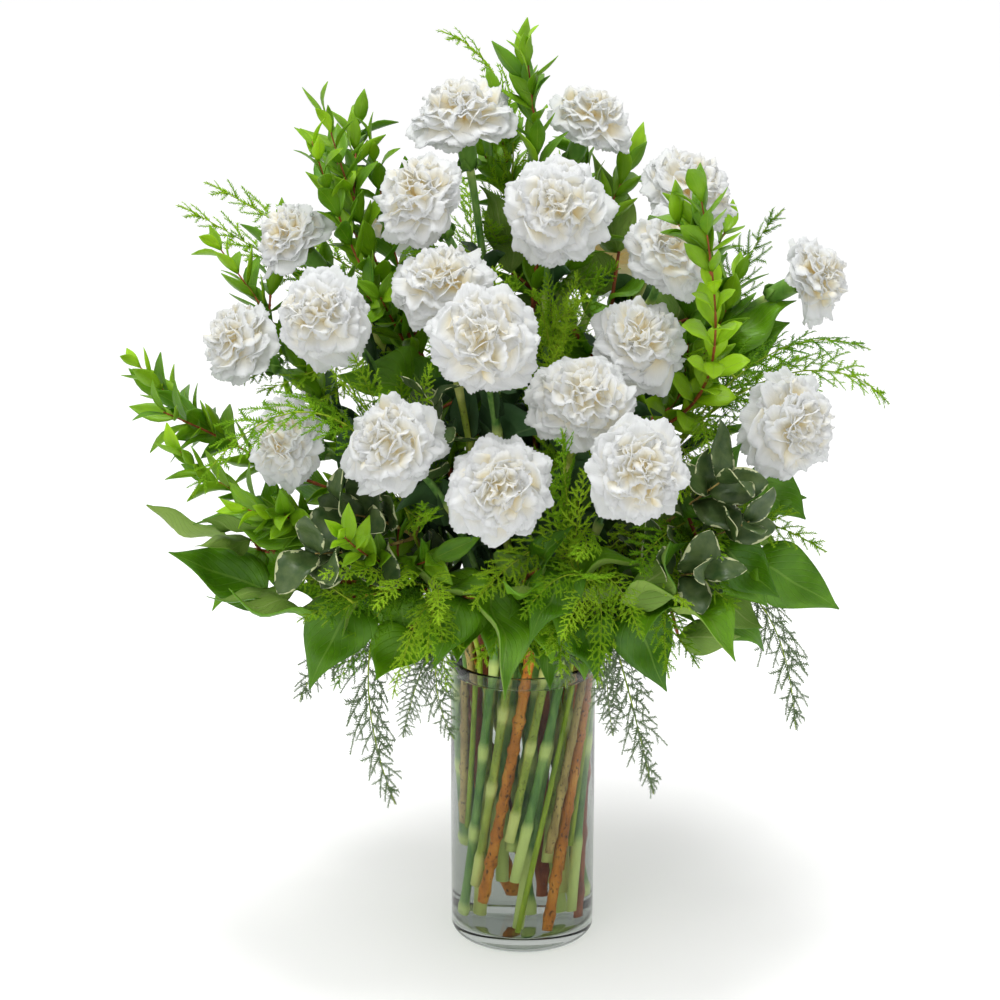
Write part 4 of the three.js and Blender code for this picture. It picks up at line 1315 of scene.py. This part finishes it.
# ---- leaves, sprigs and fronds ----------------------------------------------------------------
VIEWER = vec(0, -0.66, 0.75)
BEHIND = vec(0, 0.66, 0.75)
bloom_rooms = [(b["bloom"]["middle"], b["bloom"]["radius"]) for b in bodies if "bloom" in b]


LEAF_ENTERS = 0.92  # shares of its radius within which a leaf or a sprig is in a bloom
SPRIG_ENTERS = 1.1


def in_a_bloom(place, margin=LEAF_ENTERS):
    return any(np.linalg.norm(place - middle) < radius * margin for middle, radius in bloom_rooms)


def enters_a_bloom(foot, tip, margin=LEAF_ENTERS):
    return in_a_bloom(tip, margin) or in_a_bloom(mix(foot, tip, 0.5), margin)


def unsteady(facing, spread):
    return facing + vec(*(draw.uniform(-spread, spread) for _ in range(3)))


def grown_twigs(body):
    return [twig for twig in body["twigs"] if twig is not None]


def last_pair(line, leaf):
    """Where a sprig's last pair of leaves sits, so that their tips end where the sprig should."""
    return max(0.6, 1 - 0.62 * leaf["length"] / lengths(line)[-1])


def bare_twig(line, leaf):
    return part_of(line, 0, last_pair(line, leaf) + 0.02, 14)


def leafy_sprig(line, shapes, leaf, parts, youth=0.2):
    """Crossed pairs of leaves up a sprig, closer, younger and steeper towards its tip."""
    total = lengths(line)[-1]
    pairs = max(4, int(total * (1 - leaf["from"]) / leaf["spacing"]))
    side = perpendicular(along(line, 0.5)[1])
    last = last_pair(line, leaf)
    for pair in range(pairs):
        share = leaf["from"] + (last - leaf["from"]) * (pair / (pairs - 1)) ** 0.9
        place, ahead = along(line, share)
        turn = math.radians(90 * pair + draw.uniform(-35, 35))
        out = turned(unit(side - ahead * side.dot(ahead)), ahead, turn)
        close = max(0, (share - 0.75) / 0.25)
        for way in (1, -1):
            lean = math.radians(leaf["lean"] * (1 - 0.6 * close) + draw.uniform(-18, 20))
            direction = ahead * math.cos(lean) + out * way * math.sin(lean)
            length = leaf["length"] * (1.05 - 0.45 * close) * draw.uniform(0.7, 1.15)
            if in_a_bloom(place + direction * length * 0.7):
                continue
            face = ahead * math.sin(lean) - out * way * math.cos(lean)
            width = leaf["width"] * length / leaf["length"] * draw.uniform(0.9, 1.1)
            matrix = seated(place + out * way * 0.6, direction, face, (width, length, length))
            age = min(1, youth + 0.5 * close + draw.uniform(-0.15, 0.35))
            parts.append(copied(any_of(shapes), matrix, age=age))


SMALL_LEAF = {
    "myrtle": {"length": 29, "width": 11, "spacing": 11, "from": 0.06, "lean": 42},
    "pittosporum": {"length": 36, "width": 22, "spacing": 20, "from": 0.3, "lean": 52},
    "bright": {"length": 26, "width": 16, "spacing": 14, "from": 0.1, "lean": 52},
}


SIDE_SPRIGS = {"myrtle": 12, "pittosporum": 0}
BRIGHT_SPRIG = ("myrtle_4", 0)
STEM_LEAF_SPACING = 16


def leafy_branch(body, shapes):
    """A woody stem with leaves up its top, its sprigs, and shorter side sprigs between them."""
    kind = body["kind"]
    radius = STEM[kind]
    thin = TWIG[kind]
    line = body["line"]
    wood = shapes[kind + "_stem"]
    leaf = SMALL_LEAF[kind]
    parts = [grown(wood, line, radius, thin * 1.3, any_roll())]
    for i, twig in enumerate(body["twigs"]):
        if twig is None:
            continue
        parts.append(grown(wood, bare_twig(twig, leaf), thin * 1.1, thin * 0.4))
        if (body["name"], i) == BRIGHT_SPRIG:
            lower = part_of(twig, 0, 0.72, 12)
            leafy_sprig(lower, shapes["round"], SMALL_LEAF["bright"], parts, 0.6)
            twig = part_of(twig, 0.7, 1, 8)
        leafy_sprig(twig, shapes[kind], leaf, parts)
    top = part_of(line, 0.5, 0.98, 12)
    leafy_sprig(top, shapes[kind], {**leaf, "spacing": STEM_LEAF_SPACING}, parts)
    carriers = [top, *grown_twigs(body)]
    for step in range(SIDE_SPRIGS[kind]):
        place, ahead = along(carriers[step % len(carriers)], draw.uniform(0.1, 0.75))
        way = unit(ahead * 0.8 + on_circle(GOLDEN_TURN * step, 1, 0.35))
        tip = place + way * draw.uniform(45, 80)
        if enters_a_bloom(place, tip, SPRIG_ENTERS):
            continue
        sprig = bend([place, mix(place, tip, 0.5) + ahead * 8, tip], 8)
        parts.append(grown(wood, bare_twig(sprig, leaf), thin * 0.8, thin * 0.4))
        leafy_sprig(sprig, shapes[kind], leaf, parts)
    return joined(piece_name(body), parts)


# The large leaves that turn their pale undersides out.
TURNED_OVER = {("salal_1", 3), ("salal_2", 2), ("salal_3", 1)}
BACK_STARTS = 20  # tips of large leaves further back than this face away
LEAF_WIDTH_SHARE = 0.86  # of the solid's, which is plainer at its edge


def put_large_leaf(base, tip, width, shapes, parts, over=False):
    facing = unsteady(BEHIND if tip[1] > BACK_STARTS else VIEWER, 0.55)
    if over:
        facing = -facing
    ahead = tip - base
    length = np.linalg.norm(ahead)
    facing = unit(facing - ahead * facing.dot(ahead) / length ** 2)
    shape = any_of(shapes["salal"])
    matrix = seated(base, ahead, facing, (width * LEAF_WIDTH_SHARE, length, length))
    parts.append(copied(shape, matrix, age=draw.uniform(0, 0.7)))


def large_leaf_branch(body, shapes):
    """A zigzag woody stem, each petiole with its large leaf, and smaller leaves along the way."""
    radius = STEM["salal"]
    thin = TWIG["salal"]
    line = body["line"]
    parts = [grown(shapes["salal_stem"], line, radius, thin * 1.5, any_roll())]
    for i, ((_, tip, width), twig) in enumerate(zip(body["routes"], body["twigs"])):
        if twig is None:
            continue
        parts.append(grown(shapes["salal_twig"], twig, thin * 1.4, thin * 0.8))
        over = (body["name"], i) in TURNED_OVER
        put_large_leaf(twig[-1], vec(*tip), width, shapes, parts, over)
        spaces = lengths(twig)[-1] / INNER_LEAF_SPACING
        for step in range(int(spaces)):
            place, ahead = along(twig, (step + 0.6) / spaces)
            side = np.cross(ahead, unit(VIEWER)) * (1 if step % 2 else -1)
            inner_leaf(place, ahead * 0.55 + side * 0.8, shapes, parts)
    lines = [line[line[:, 2] > BEND_START], *grown_twigs(body)]
    for base, tip, width, over in MORE_LEAVES.get(body["name"], []):
        base = vec(*base)
        start = nearest_on(lines, base)
        stalk = bend([start, mix(start, base, 0.5) + vec(0, 0, 4), base], 6)
        parts.append(grown(shapes["salal_twig"], stalk, thin, thin * 0.7))
        put_large_leaf(base, vec(*tip), width, shapes, parts, over)
    for step in range(STEM_LEAVES):
        place, ahead = along(line, mix(0.45, 0.99, step / (STEM_LEAVES - 1)))
        inner_leaf(place, ahead * 0.6 + on_circle(GOLDEN_TURN * step, 1, 0), shapes, parts)
    return joined(piece_name(body), parts)


STEM_LEAVES = 16
INNER_LEAF_SPACING = 22
# More large leaves on the same branches: where the blade starts, its tip, its width, and whether it
# turns its pale underside out.
MORE_LEAVES = {
    "salal_1": [
        [[-50, -70, 268], [-66, -98, 232], 36, False],
        [[-38, -72, 270], [-44, -104, 238], 34, False],
        [[-170, -60, 300], [-214, -92, 328], 30, False],
        [[-150, -80, 285], [-205, -108, 284], 30, True],
        [[-181, -60, 308], [-215, -82, 310], 24, True],
        [[-83, -70, 276], [-77, -84, 236], 40, False],
        [[-115, -60, 262], [-153, -70, 277], 34, False],
        [[-70, -50, 255], [-91, -70, 227], 34, False],
        [[-52, 52, 264], [-88, 72, 228], 40, False],
        [[-82, 18, 268], [-118, 24, 236], 38, False],
    ],
    "salal_2": [
        [[-12, -70, 272], [-22, -106, 240], 36, False],
        [[14, -72, 270], [18, -108, 238], 36, False],
        [[0, -66, 285], [-2, -112, 262], 38, False],
        [[9, -66, 250], [17, -92, 214], 34, False],
        [[28, -64, 252], [40, -84, 218], 32, False],
    ],
    "salal_3": [
        [[44, -66, 270], [56, -98, 238], 36, False],
        [[70, -70, 280], [112, -96, 262], 40, False],
        [[124, -100, 318], [161, -130, 291], 36, False],
        [[115, -90, 288], [153, -115, 265], 38, True],
        [[101, -90, 250], [140, -105, 256], 26, True],
        [[96, -70, 350], [128, -92, 330], 38, False],
        [[112, -80, 354], [138, -96, 383], 34, False],
        [[117, -60, 263], [160, -70, 233], 36, False],
        [[149, -60, 356], [185, -64, 323], 34, False],
        [[60, 48, 264], [92, 74, 230], 42, False],
        [[86, 8, 268], [120, 14, 238], 36, False],
    ],
    "salal_4": [
        [[-59, -20, 385], [-123, -34, 413], 46, False],
        [[-63, -10, 392], [-86, -20, 430], 38, False],
        [[61, 10, 426], [32, 0, 473], 38, False],
        [[138, 4, 421], [182, -2, 457], 34, False],
        [[12, 62, 266], [24, 96, 228], 42, False],
        [[-20, 64, 268], [-32, 92, 230], 38, False],
    ],
}
LOWEST_LEAF_FOOT = VASE["height"] + 44
LOWEST_LEAF_TIP = VASE["height"] + 50
TURNED_SHARE = 0.15  # of the inner leaves that show their pale undersides


def inner_leaf(place, way, shapes, parts):
    """A smaller leaf on a short stalk, left out where it would enter a bloom."""
    length = draw.uniform(42, 64)
    direction = unit(way + vec(0, 0, draw.uniform(-0.35, 0.3)))
    tip = place + direction * length
    if place[2] < LOWEST_LEAF_FOOT or tip[2] < LOWEST_LEAF_TIP:
        return
    if not enters_a_bloom(place, tip):
        width = length * draw.uniform(0.52, 0.7)
        put_large_leaf(place, tip, width, shapes, parts, draw.random() < TURNED_SHARE)


BRANCHLET_LENGTHS = (34, 24, 15)
BRANCHLET_LEAST = (25, 16)  # a branchlet this long or less is made from the next shorter shape
TWIGLETS = (4, 3, 1)  # on a branchlet of each length
TWIGLET_LENGTH = 7
FROND_LENGTH = 125
NEEDLE_STEP = 1.4
NEEDLE_RADIUS = 0.52
NEEDLE_LENGTH = 2.8
RIB_STRETCHES = 4
FROND_RIB_STRETCHES = 14
BRANCHLET_BEND = 0.006  # sideways bend of a branchlet, mm for each square mm of its length


def fern_shapes():
    """Needles line twiglets and branchlets, and branchlets a frond laid flat along X."""
    bpy.ops.mesh.primitive_cone_add(
        vertices=3, radius1=NEEDLE_RADIUS, radius2=0, depth=NEEDLE_LENGTH,
        location=(0, 0, NEEDLE_LENGTH / 2),
    )
    needle = finish_shape(bpy.context.object, "needle", NEEDLE)
    needle.data.transform(Matrix.Rotation(-math.pi / 2, 4, "X"))
    short = twiglet(needle)
    branchlets = {
        (size, way): branchlet(needle, short, length, TWIGLETS[size], way)
        for size, length in enumerate(BRANCHLET_LENGTHS) for way in (1, -1)
    }
    full = [frond(branchlets, f"frond_{k}", **FULL_FROND) for k in range(3)]
    hanging = [frond(branchlets, f"hanging_frond_{k}", **HANGING_FROND) for k in range(2)]
    for shape in (needle, short, *branchlets.values()):
        bpy.data.objects.remove(shape)
    return full, hanging


def laid(shape, distance, turn, size, tilt=0.0):
    """A copy of a shape that grows along Y, set on a rib along Y and turned aside from it."""
    ahead = vec(math.sin(turn) * math.cos(tilt), math.cos(turn) * math.cos(tilt), math.sin(tilt))
    matrix = seated(vec(0, distance, 0), ahead, vec(0, 0, 1), (size, size, size))
    return copied(shape, in_mm(matrix))


def rib(name, length, thick, material, stretches):
    """A thin three-sided rib along Y, finer to its end, in stretches so that it can be bent."""
    stations = [
        (length * i / stretches, thick * mix(1, 0.3, i / stretches)) for i in range(stretches + 1)
    ]
    piece = stock(name, stations, 3, material)
    piece.data.transform(Matrix.Rotation(math.pi / 2, 4, "Z"))
    return piece


def needled_rib(name, length, thick, stretches, needle, longest):
    """A rib with a pair of needles at each step, longest at its foot, and one needle at its end."""
    parts = [rib(name, length, thick, NEEDLE, stretches)]
    count = int(length / NEEDLE_STEP)
    for k in range(count):
        for side in (1, -1):
            size = mix(longest, 0.75, k / count) * draw.uniform(0.85, 1.12)
            turn = side * mix(1.0, 0.65, k / count) * draw.uniform(0.85, 1.1)
            place = 0.6 + (k + 0.25 * side) * NEEDLE_STEP
            parts.append(laid(needle, place, turn, size, draw.uniform(-0.6, 0.6)))
    parts.append(laid(needle, length - 1.5, 0.0, 0.8))
    return parts


def twiglet(needle):
    return joined("twiglet", needled_rib("twiglet_rib", TWIGLET_LENGTH, 0.36, 1, needle, 0.9))


def branchlet(needle, short, length, twiglets, way):
    """A needled rib with twiglets to each side in turn near its foot, all bent to one side and a
    little down."""
    parts = needled_rib("branchlet_rib", length, 0.5, RIB_STRETCHES, needle, 1.25)
    for k in range(twiglets):
        t = 0.1 + 0.5 * k / max(1, twiglets - 1)
        side = 1 if k % 2 else -1
        size = mix(1.3, 0.8, k / twiglets) * draw.uniform(0.85, 1.1)
        turn = side * draw.uniform(0.6, 0.85)
        parts.append(laid(short, t * length, turn, size, draw.uniform(-0.3, 0.3)))
    piece = joined(f"branchlet_{length}", parts)
    for v in piece.data.vertices:
        drawn = max(0.0, v.co.y) ** 2
        v.co.x -= way * BRANCHLET_BEND * drawn
        v.co.z -= 0.4 * BRANCHLET_BEND * drawn
    return piece


FULL_FROND = {"count": 24, "longest": 31, "spread": (1.0, 0.6)}
HANGING_FROND = {"count": 30, "longest": 33, "spread": (0.95, 0.5)}


def frond(branchlets, name, count, longest, spread):
    """Branchlets to each side in turn, longest near the foot and shorter to a leafy tip."""
    parts = [rib("frond_rib", FROND_LENGTH, 0.8, WIRY, FROND_RIB_STRETCHES)]
    for k in range(count):
        t = k / count
        way = 1 if k % 2 else -1
        fullness = min(1, 0.6 + 2 * t) * (1 - t) ** 0.6 + 0.12
        reach = longest * fullness * draw.uniform(0.7, 1.15)
        size = sum(reach <= least for least in BRANCHLET_LEAST)
        turn = way * mix(*spread, t) + draw.uniform(-0.12, 0.12)
        scale = reach / BRANCHLET_LENGTHS[size]
        foot = 2 + 120 * t
        parts.append(laid(branchlets[size, way], foot, turn, scale, draw.uniform(-0.35, 0.3)))
    parts.append(laid(branchlets[2, 1], FROND_LENGTH - 12, 0.0, 0.85))
    piece = joined(name, parts)
    piece.data.transform(Matrix.Rotation(-math.pi / 2, 4, "Z"))
    return piece


# More fronds of each fern among the blooms and leaves: where each one arches through, and its tip.
FILLING_FRONDS = {
    "fern_1": [
        [[-16, 30, 486], [-28, 10, 519]],
        [[-97, 0, 437], [-114, -20, 441]],
        [[52, 30, 451], [64, 10, 481]],
        [[-63, 30, 492], [-83, 0, 483]],
        [[-36, -40, 465], [-16, -50, 491]],
        [[-3, -50, 447], [-6, -60, 488]],
        [[10, -50, 434], [41, -72, 477]],
        [[-60, 120, 380], [-70, 165, 400]],
        [[30, 120, 360], [60, 170, 350]],
        [[90, 80, 400], [130, 110, 440]],
        [[-90, 100, 300], [-130, 150, 290]],
        [[-120, 0, 410], [-178, -35, 402]],
        [[-110, 10, 400], [-150, -30, 385]],
        [[-175, -20, 393], [-195, -30, 412]],
    ],
    "fern_2": [
        [[74, -110, 309], [102, -160, 293]],
        [[87, -100, 306], [136, -140, 286]],
        [[80, -110, 303], [91, -140, 239]],
        [[113, -90, 330], [122, -150, 322]],
        [[73, -110, 323], [70, -170, 319]],
        [[113, -80, 361], [94, -130, 355]],
        [[113, -70, 392], [118, -110, 379]],
        [[108, -40, 445], [121, -70, 415]],
        [[110, 60, 300], [150, 120, 290]],
        [[110, -40, 360], [142, -44, 388]],
        [[70, -90, 290], [52, -104, 245]],
        [[25, -95, 290], [13, -122, 249]],
        [[40, -90, 285], [33, -112, 242]],
        [[39, -92, 276], [51, -100, 217]],
        [[4, -92, 276], [2, -100, 227]],
        [[21, -92, 272], [27, -98, 216]],
        [[-16, -90, 269], [-33, -92, 229]],
    ],
    "fern_3": [
        [[-81, -70, 378], [-122, -118, 437]],
        [[-84, -70, 378], [-108, -112, 446]],
        [[-77, -80, 374], [-58, -112, 439]],
        [[-93, -90, 374], [-90, -128, 422]],
        [[-81, -100, 300], [-145, -140, 278]],
        [[-81, -100, 293], [-123, -138, 231]],
        [[-67, -110, 289], [-85, -142, 226]],
        [[-55, -110, 289], [-50, -146, 233]],
        [[-80, -110, 309], [-129, -158, 315]],
        [[-67, -120, 313], [-95, -172, 297]],
        [[-54, -120, 313], [-54, -176, 288]],
        [[-144, -110, 309], [-148, -150, 302]],
        [[-54, -120, 326], [-65, -150, 361]],
        [[-45, -95, 290], [-42, -112, 248]],
        [[-65, -92, 249], [-81, -95, 181]],
        [[-81, -60, 383], [-79, -75, 425]],
    ],
    "fern_4": [
        [[-16, -110, 309], [-34, -172, 297]],
        [[22, -110, 309], [9, -140, 387]],
        [[26, -110, 309], [38, -140, 382]],
        [[48, -120, 313], [21, -172, 277]],
        [[54, -120, 306], [45, -150, 237]],
        [[60, -120, 313], [71, -165, 275]],
        [[22, -130, 316], [-4, -176, 292]],
        [[47, -120, 326], [30, -176, 330]],
        [[10, -60, 403], [22, -95, 447]],
        [[-10, -90, 290], [-22, -118, 245]],
        [[5, -95, 290], [-3, -124, 245]],
        [[50, -72, 242], [60, -66, 170]],
        [[21, -40, 438], [14, -55, 486]],
        [[26, -45, 436], [34, -52, 487]],
        [[40, -30, 443], [50, -40, 488]],
        [[23, -70, 418], [26, -84, 462]],
    ],
}


HANGING_LEVEL = VASE["height"] + 12  # tips below this hang
HANGING_PAINTED_SHADE = -0.3  # painted shade: dull and grey-green, as back-lit hanging fronds look


def nearest_on(lines, target):
    """The point on any of the lines that lies closest to the target."""
    points = np.concatenate([part_of(line, 0.1, 0.98, 40) for line in lines])
    return points[np.argmin(np.linalg.norm(points - target, axis=1))]


def fern_branch(body, shapes):
    """Wiry stems, each ending in a feathery frond, and more fronds that leave them on the way."""
    radius = STEM["fern"]
    thin = TWIG["fern"]
    line = body["line"]
    parts = [grown(shapes["fern_stem"], line, radius, thin * 1.2)]

    def put_frond(points, age, hangs=False):
        total = lengths(points)[-1]
        stretch = min(1.4, max(1, total / 150))
        bare = max(0.08, 1 - FROND_LENGTH * stretch / total)
        stalk = part_of(points, 0, bare, 10)
        parts.append(grown(shapes["fern_stem"], stalk, thin, thin * 0.8))
        leafy = part_of(points, bare, 1, 12)
        at_back = points[-1][1] > 60 and abs(points[-1][0]) < 120
        facing = unit(unsteady(BEHIND if at_back else VIEWER, 0.35))
        spread = min(1.15, max(0.8 if hangs else 0.6, total / FROND_LENGTH))
        shape = any_of(shapes["hanging_frond" if hangs else "frond"])
        parts.append(laid_along(shape, leafy, facing, spread, age=age))
        return bare

    twigs = grown_twigs(body)
    for twig in twigs:
        hangs = twig[-1][2] < VASE["height"]
        # Hanging fronds take the painted shade tone.
        bare = put_frond(twig, HANGING_PAINTED_SHADE if hangs else draw.uniform(0.1, 0.5), hangs)
        for share in (0.35, 0.65):
            if bare < 0.3:
                continue
            place, ahead = along(twig, bare * share)
            side = np.cross(ahead, VIEWER) * draw.choice((-1, 1))
            tip = place + unit(ahead * 0.5 + side + VIEWER * 0.3) * draw.uniform(60, 85)
            if not in_a_bloom(tip):
                bow = mix(place, tip, 0.5) + vec(0, 0, 14)
                put_frond(bend([place, bow, tip], 10), draw.uniform(0, 0.5))
    free = line[line[:, 2] > BEND_START]
    for bow, tip in FILLING_FRONDS[body["name"]]:
        start = nearest_on([free, *twigs], vec(*bow))
        hangs = tip[2] < HANGING_LEVEL
        # Hanging fronds take the painted shade tone.
        age = HANGING_PAINTED_SHADE if hangs else draw.uniform(0.2, 0.8)
        put_frond(bend([start, vec(*bow), vec(*tip)], 12), age, hangs)
    return joined(piece_name(body), parts)


def ovate(t):
    """Width of an egg-shaped leaf with a drawn-out tip, at a share of its length."""
    return max(0.02, 0.08 * (1 - t) + math.sin(math.pi * t ** 0.66) ** 0.9 * (1 - 0.55 * t ** 3))


def blunt(t):
    """Width of a leaf with a rounded tip, at a share of its length."""
    return max(0.06, math.sin(math.pi * t ** 0.85) ** 0.62)


# ---- the shapes that repeat -------------------------------------------------------------------
# Each leaf: widths from foot to tip, grid columns, materials, thickness, and for each of its
# shapes the arch, the fold, the ripple and the twist.
LEAVES = {
    "narrow": ([0.9, 1.0, 0.95, 0.85, 0.7, 0.5, 0.05], 2, [NARROW_LEAF], 0.006, [
        (0.16, 0.3, 0.0, 0.0), (0.28, 0.3, 0.0, 0.9),
    ]),
    "myrtle": ([0.12, 0.62, 0.95, 1.0, 0.82, 0.45, 0.04], 4, [MYRTLE_LEAF], 0.014, [
        (0.05, 0.06, 0.0, 0.0), (0.12, 0.05, 0.0, 0.3), (-0.06, 0.08, 0.0, 0.0),
    ]),
    "round": ([0.12, 0.45, 0.8, 1.0, 0.98, 0.72, 0.06], 4, [MYRTLE_LEAF], 0.014, [
        (0.06, 0.05, 0.02, 0.0), (0.14, 0.03, -0.03, 0.0),
    ]),
    "pittosporum": ([blunt(i / 12) for i in range(13)], 6, [CREAM_EDGED], 0.014, [
        (0.05, 0.05, 0.04, 0.3), (0.12, 0.09, -0.05, -0.4),
    ]),
    "salal": ([ovate(i / 15) for i in range(16)], 6, [SALAL_TOP, SALAL_UNDER], 0.009, [
        (0.10, 0.05, 0.07, 0.2), (0.16, 0.09, 0.09, 0.5), (0.06, 0.15, -0.09, -0.5),
        (0.22, 0.05, 0.11, -0.3), (-0.06, 0.18, 0.08, 0.7),
    ]),
}
# Each woody stem or twig: its bark, its knots, and how uneven its girth is.
WOOD = {
    "myrtle_stem": (RED_TWIG, 9, 0.06),
    "pittosporum_stem": (GREY_TWIG, 8, 0.05),
    "salal_stem": (WOODY, 11, 0.09),
    "salal_twig": (RED_TWIG, 4, 0.05),
}


def model_shapes():
    """Every shape that repeats, each kind as a list of its variants or as one shape."""
    shapes = {
        "petals": [
            [petal(f"petal_{number}_{k}", layer) for k in range(PETAL_VARIANTS)]
            for number, layer in enumerate(LAYERS)
        ],
        "calyx": calyx(),
        "jointed": [
            jointed_stem(f"jointed_stem_{k}", k * 0.3, material)
            for k, material in enumerate([CARNATION_STEM, YELLOW_GREEN_STEM, CARNATION_STEM])
        ],
        "fern_stem": stock("fern_stem", [(i * 10, 1.0) for i in range(11)], 6, WIRY),
    }
    for kind, (widths, columns, materials, thick, variants) in LEAVES.items():
        shapes[kind] = [
            blade(f"{kind}_leaf_{k}", widths, columns, materials, arch, fold, wave, thick, twist)
            for k, (arch, fold, wave, twist) in enumerate(variants)
        ]
    for name, (bark, knots, rough) in WOOD.items():
        shapes[name] = knotty_stem(name, bark, knots, rough)
    shapes["frond"], shapes["hanging_frond"] = fern_shapes()
    return shapes


def remove_shapes(shapes):
    for entry in shapes.values():
        stack = [entry]
        while stack:
            item = stack.pop()
            if isinstance(item, list):
                stack.extend(item)
            else:
                bpy.data.objects.remove(item)


def keep(piece, node):
    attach(piece, "root")
    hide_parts(node)


def build():
    keep(glass_vase(), "vase")
    keep(clear_water_body(), "water")
    shapes = model_shapes()
    for body in bodies:
        if "bloom" in body:
            number = f"{body['number'] + 1:02d}"
            petals = bloom(f"carnation_{number}", shapes["petals"], body["bloom"])
            keep(petals, f"bloom_{number}")
            piece = carnation_stem(body, shapes)
        elif body["kind"] == "salal":
            piece = large_leaf_branch(body, shapes)
        elif body["kind"] == "fern":
            piece = fern_branch(body, shapes)
        else:
            piece = leafy_branch(body, shapes)
        keep(piece, body["name"])
    remove_shapes(shapes)


build()


# ---- studio -----------------------------------------------------------------------------------
FLOOR_SIZE = 80
FLOOR_DROP = 0.0002
PAINTED_SHADOW_MIDDLE = (0.06, 0.19, 0)
# Two distances from there, and how strong the glow is at each: weak near it, a painted shadow, and
# full further out.
FLOOR_GLOW_AND_PAINTED_SHADOW = {"From Min": 0.04, "From Max": 0.36, "To Min": 0.03, "To Max": 0.24}


def floor():
    """A pale floor, far wider than the view, its own glow dimmed into a painted shadow just behind
    the vase's foot.
    """
    bpy.ops.mesh.primitive_plane_add(size=FLOOR_SIZE, location=(0, 0, -FLOOR_DROP))
    plane = bpy.context.object
    plane.name = "studio_floor"
    material, tree, shader = surface(
        "pale_floor", Base_Color=(0.9, 0.9, 0.9, 1), Roughness=0.95, Emission_Color=(1, 1, 1, 1),
    )
    where = add(tree, "TexCoord").outputs["Object"]
    # Painted shadow: the glow grows with the distance from the vase's foot.
    away = add(tree, "VectorMath", {0: where, 1: PAINTED_SHADOW_MIDDLE}, operation="DISTANCE")
    glow = add(
        tree, "MapRange", {"Value": away.outputs["Value"], **FLOOR_GLOW_AND_PAINTED_SHADOW},
        interpolation_type="SMOOTHSTEP",
    )
    tree.links.new(glow.outputs["Result"], shader.inputs["Emission Strength"])
    plane.data.materials.append(material)


LIT_PLACE = Vector((0, 0, 0.35))


def soft_light(name, place, size, power):
    bpy.ops.object.light_add(type="AREA", location=place)
    light = bpy.context.object
    light.name = name
    light.data.shape = "DISK"
    light.data.size = size
    light.data.energy = power
    light.rotation_euler = (LIT_PLACE - Vector(place)).to_track_quat("-Z", "Y").to_euler()


def studio():
    floor()
    soft_light("key_light", (-1.3, -1.5, 2.2), 1.0, 8)
    soft_light("top_light", (-0.1, -0.2, 2.4), 0.8, 27)
    world = bpy.data.worlds.new("studio")
    bpy.context.scene.world = world
    world.use_nodes = True
    tree = world.node_tree
    shade = tree.nodes["Background"]
    shade.inputs["Color"].default_value = (1, 1, 1, 1)
    shade.inputs["Strength"].default_value = 0.85
    bpy.context.scene.view_settings.view_transform = "Standard"


studio()
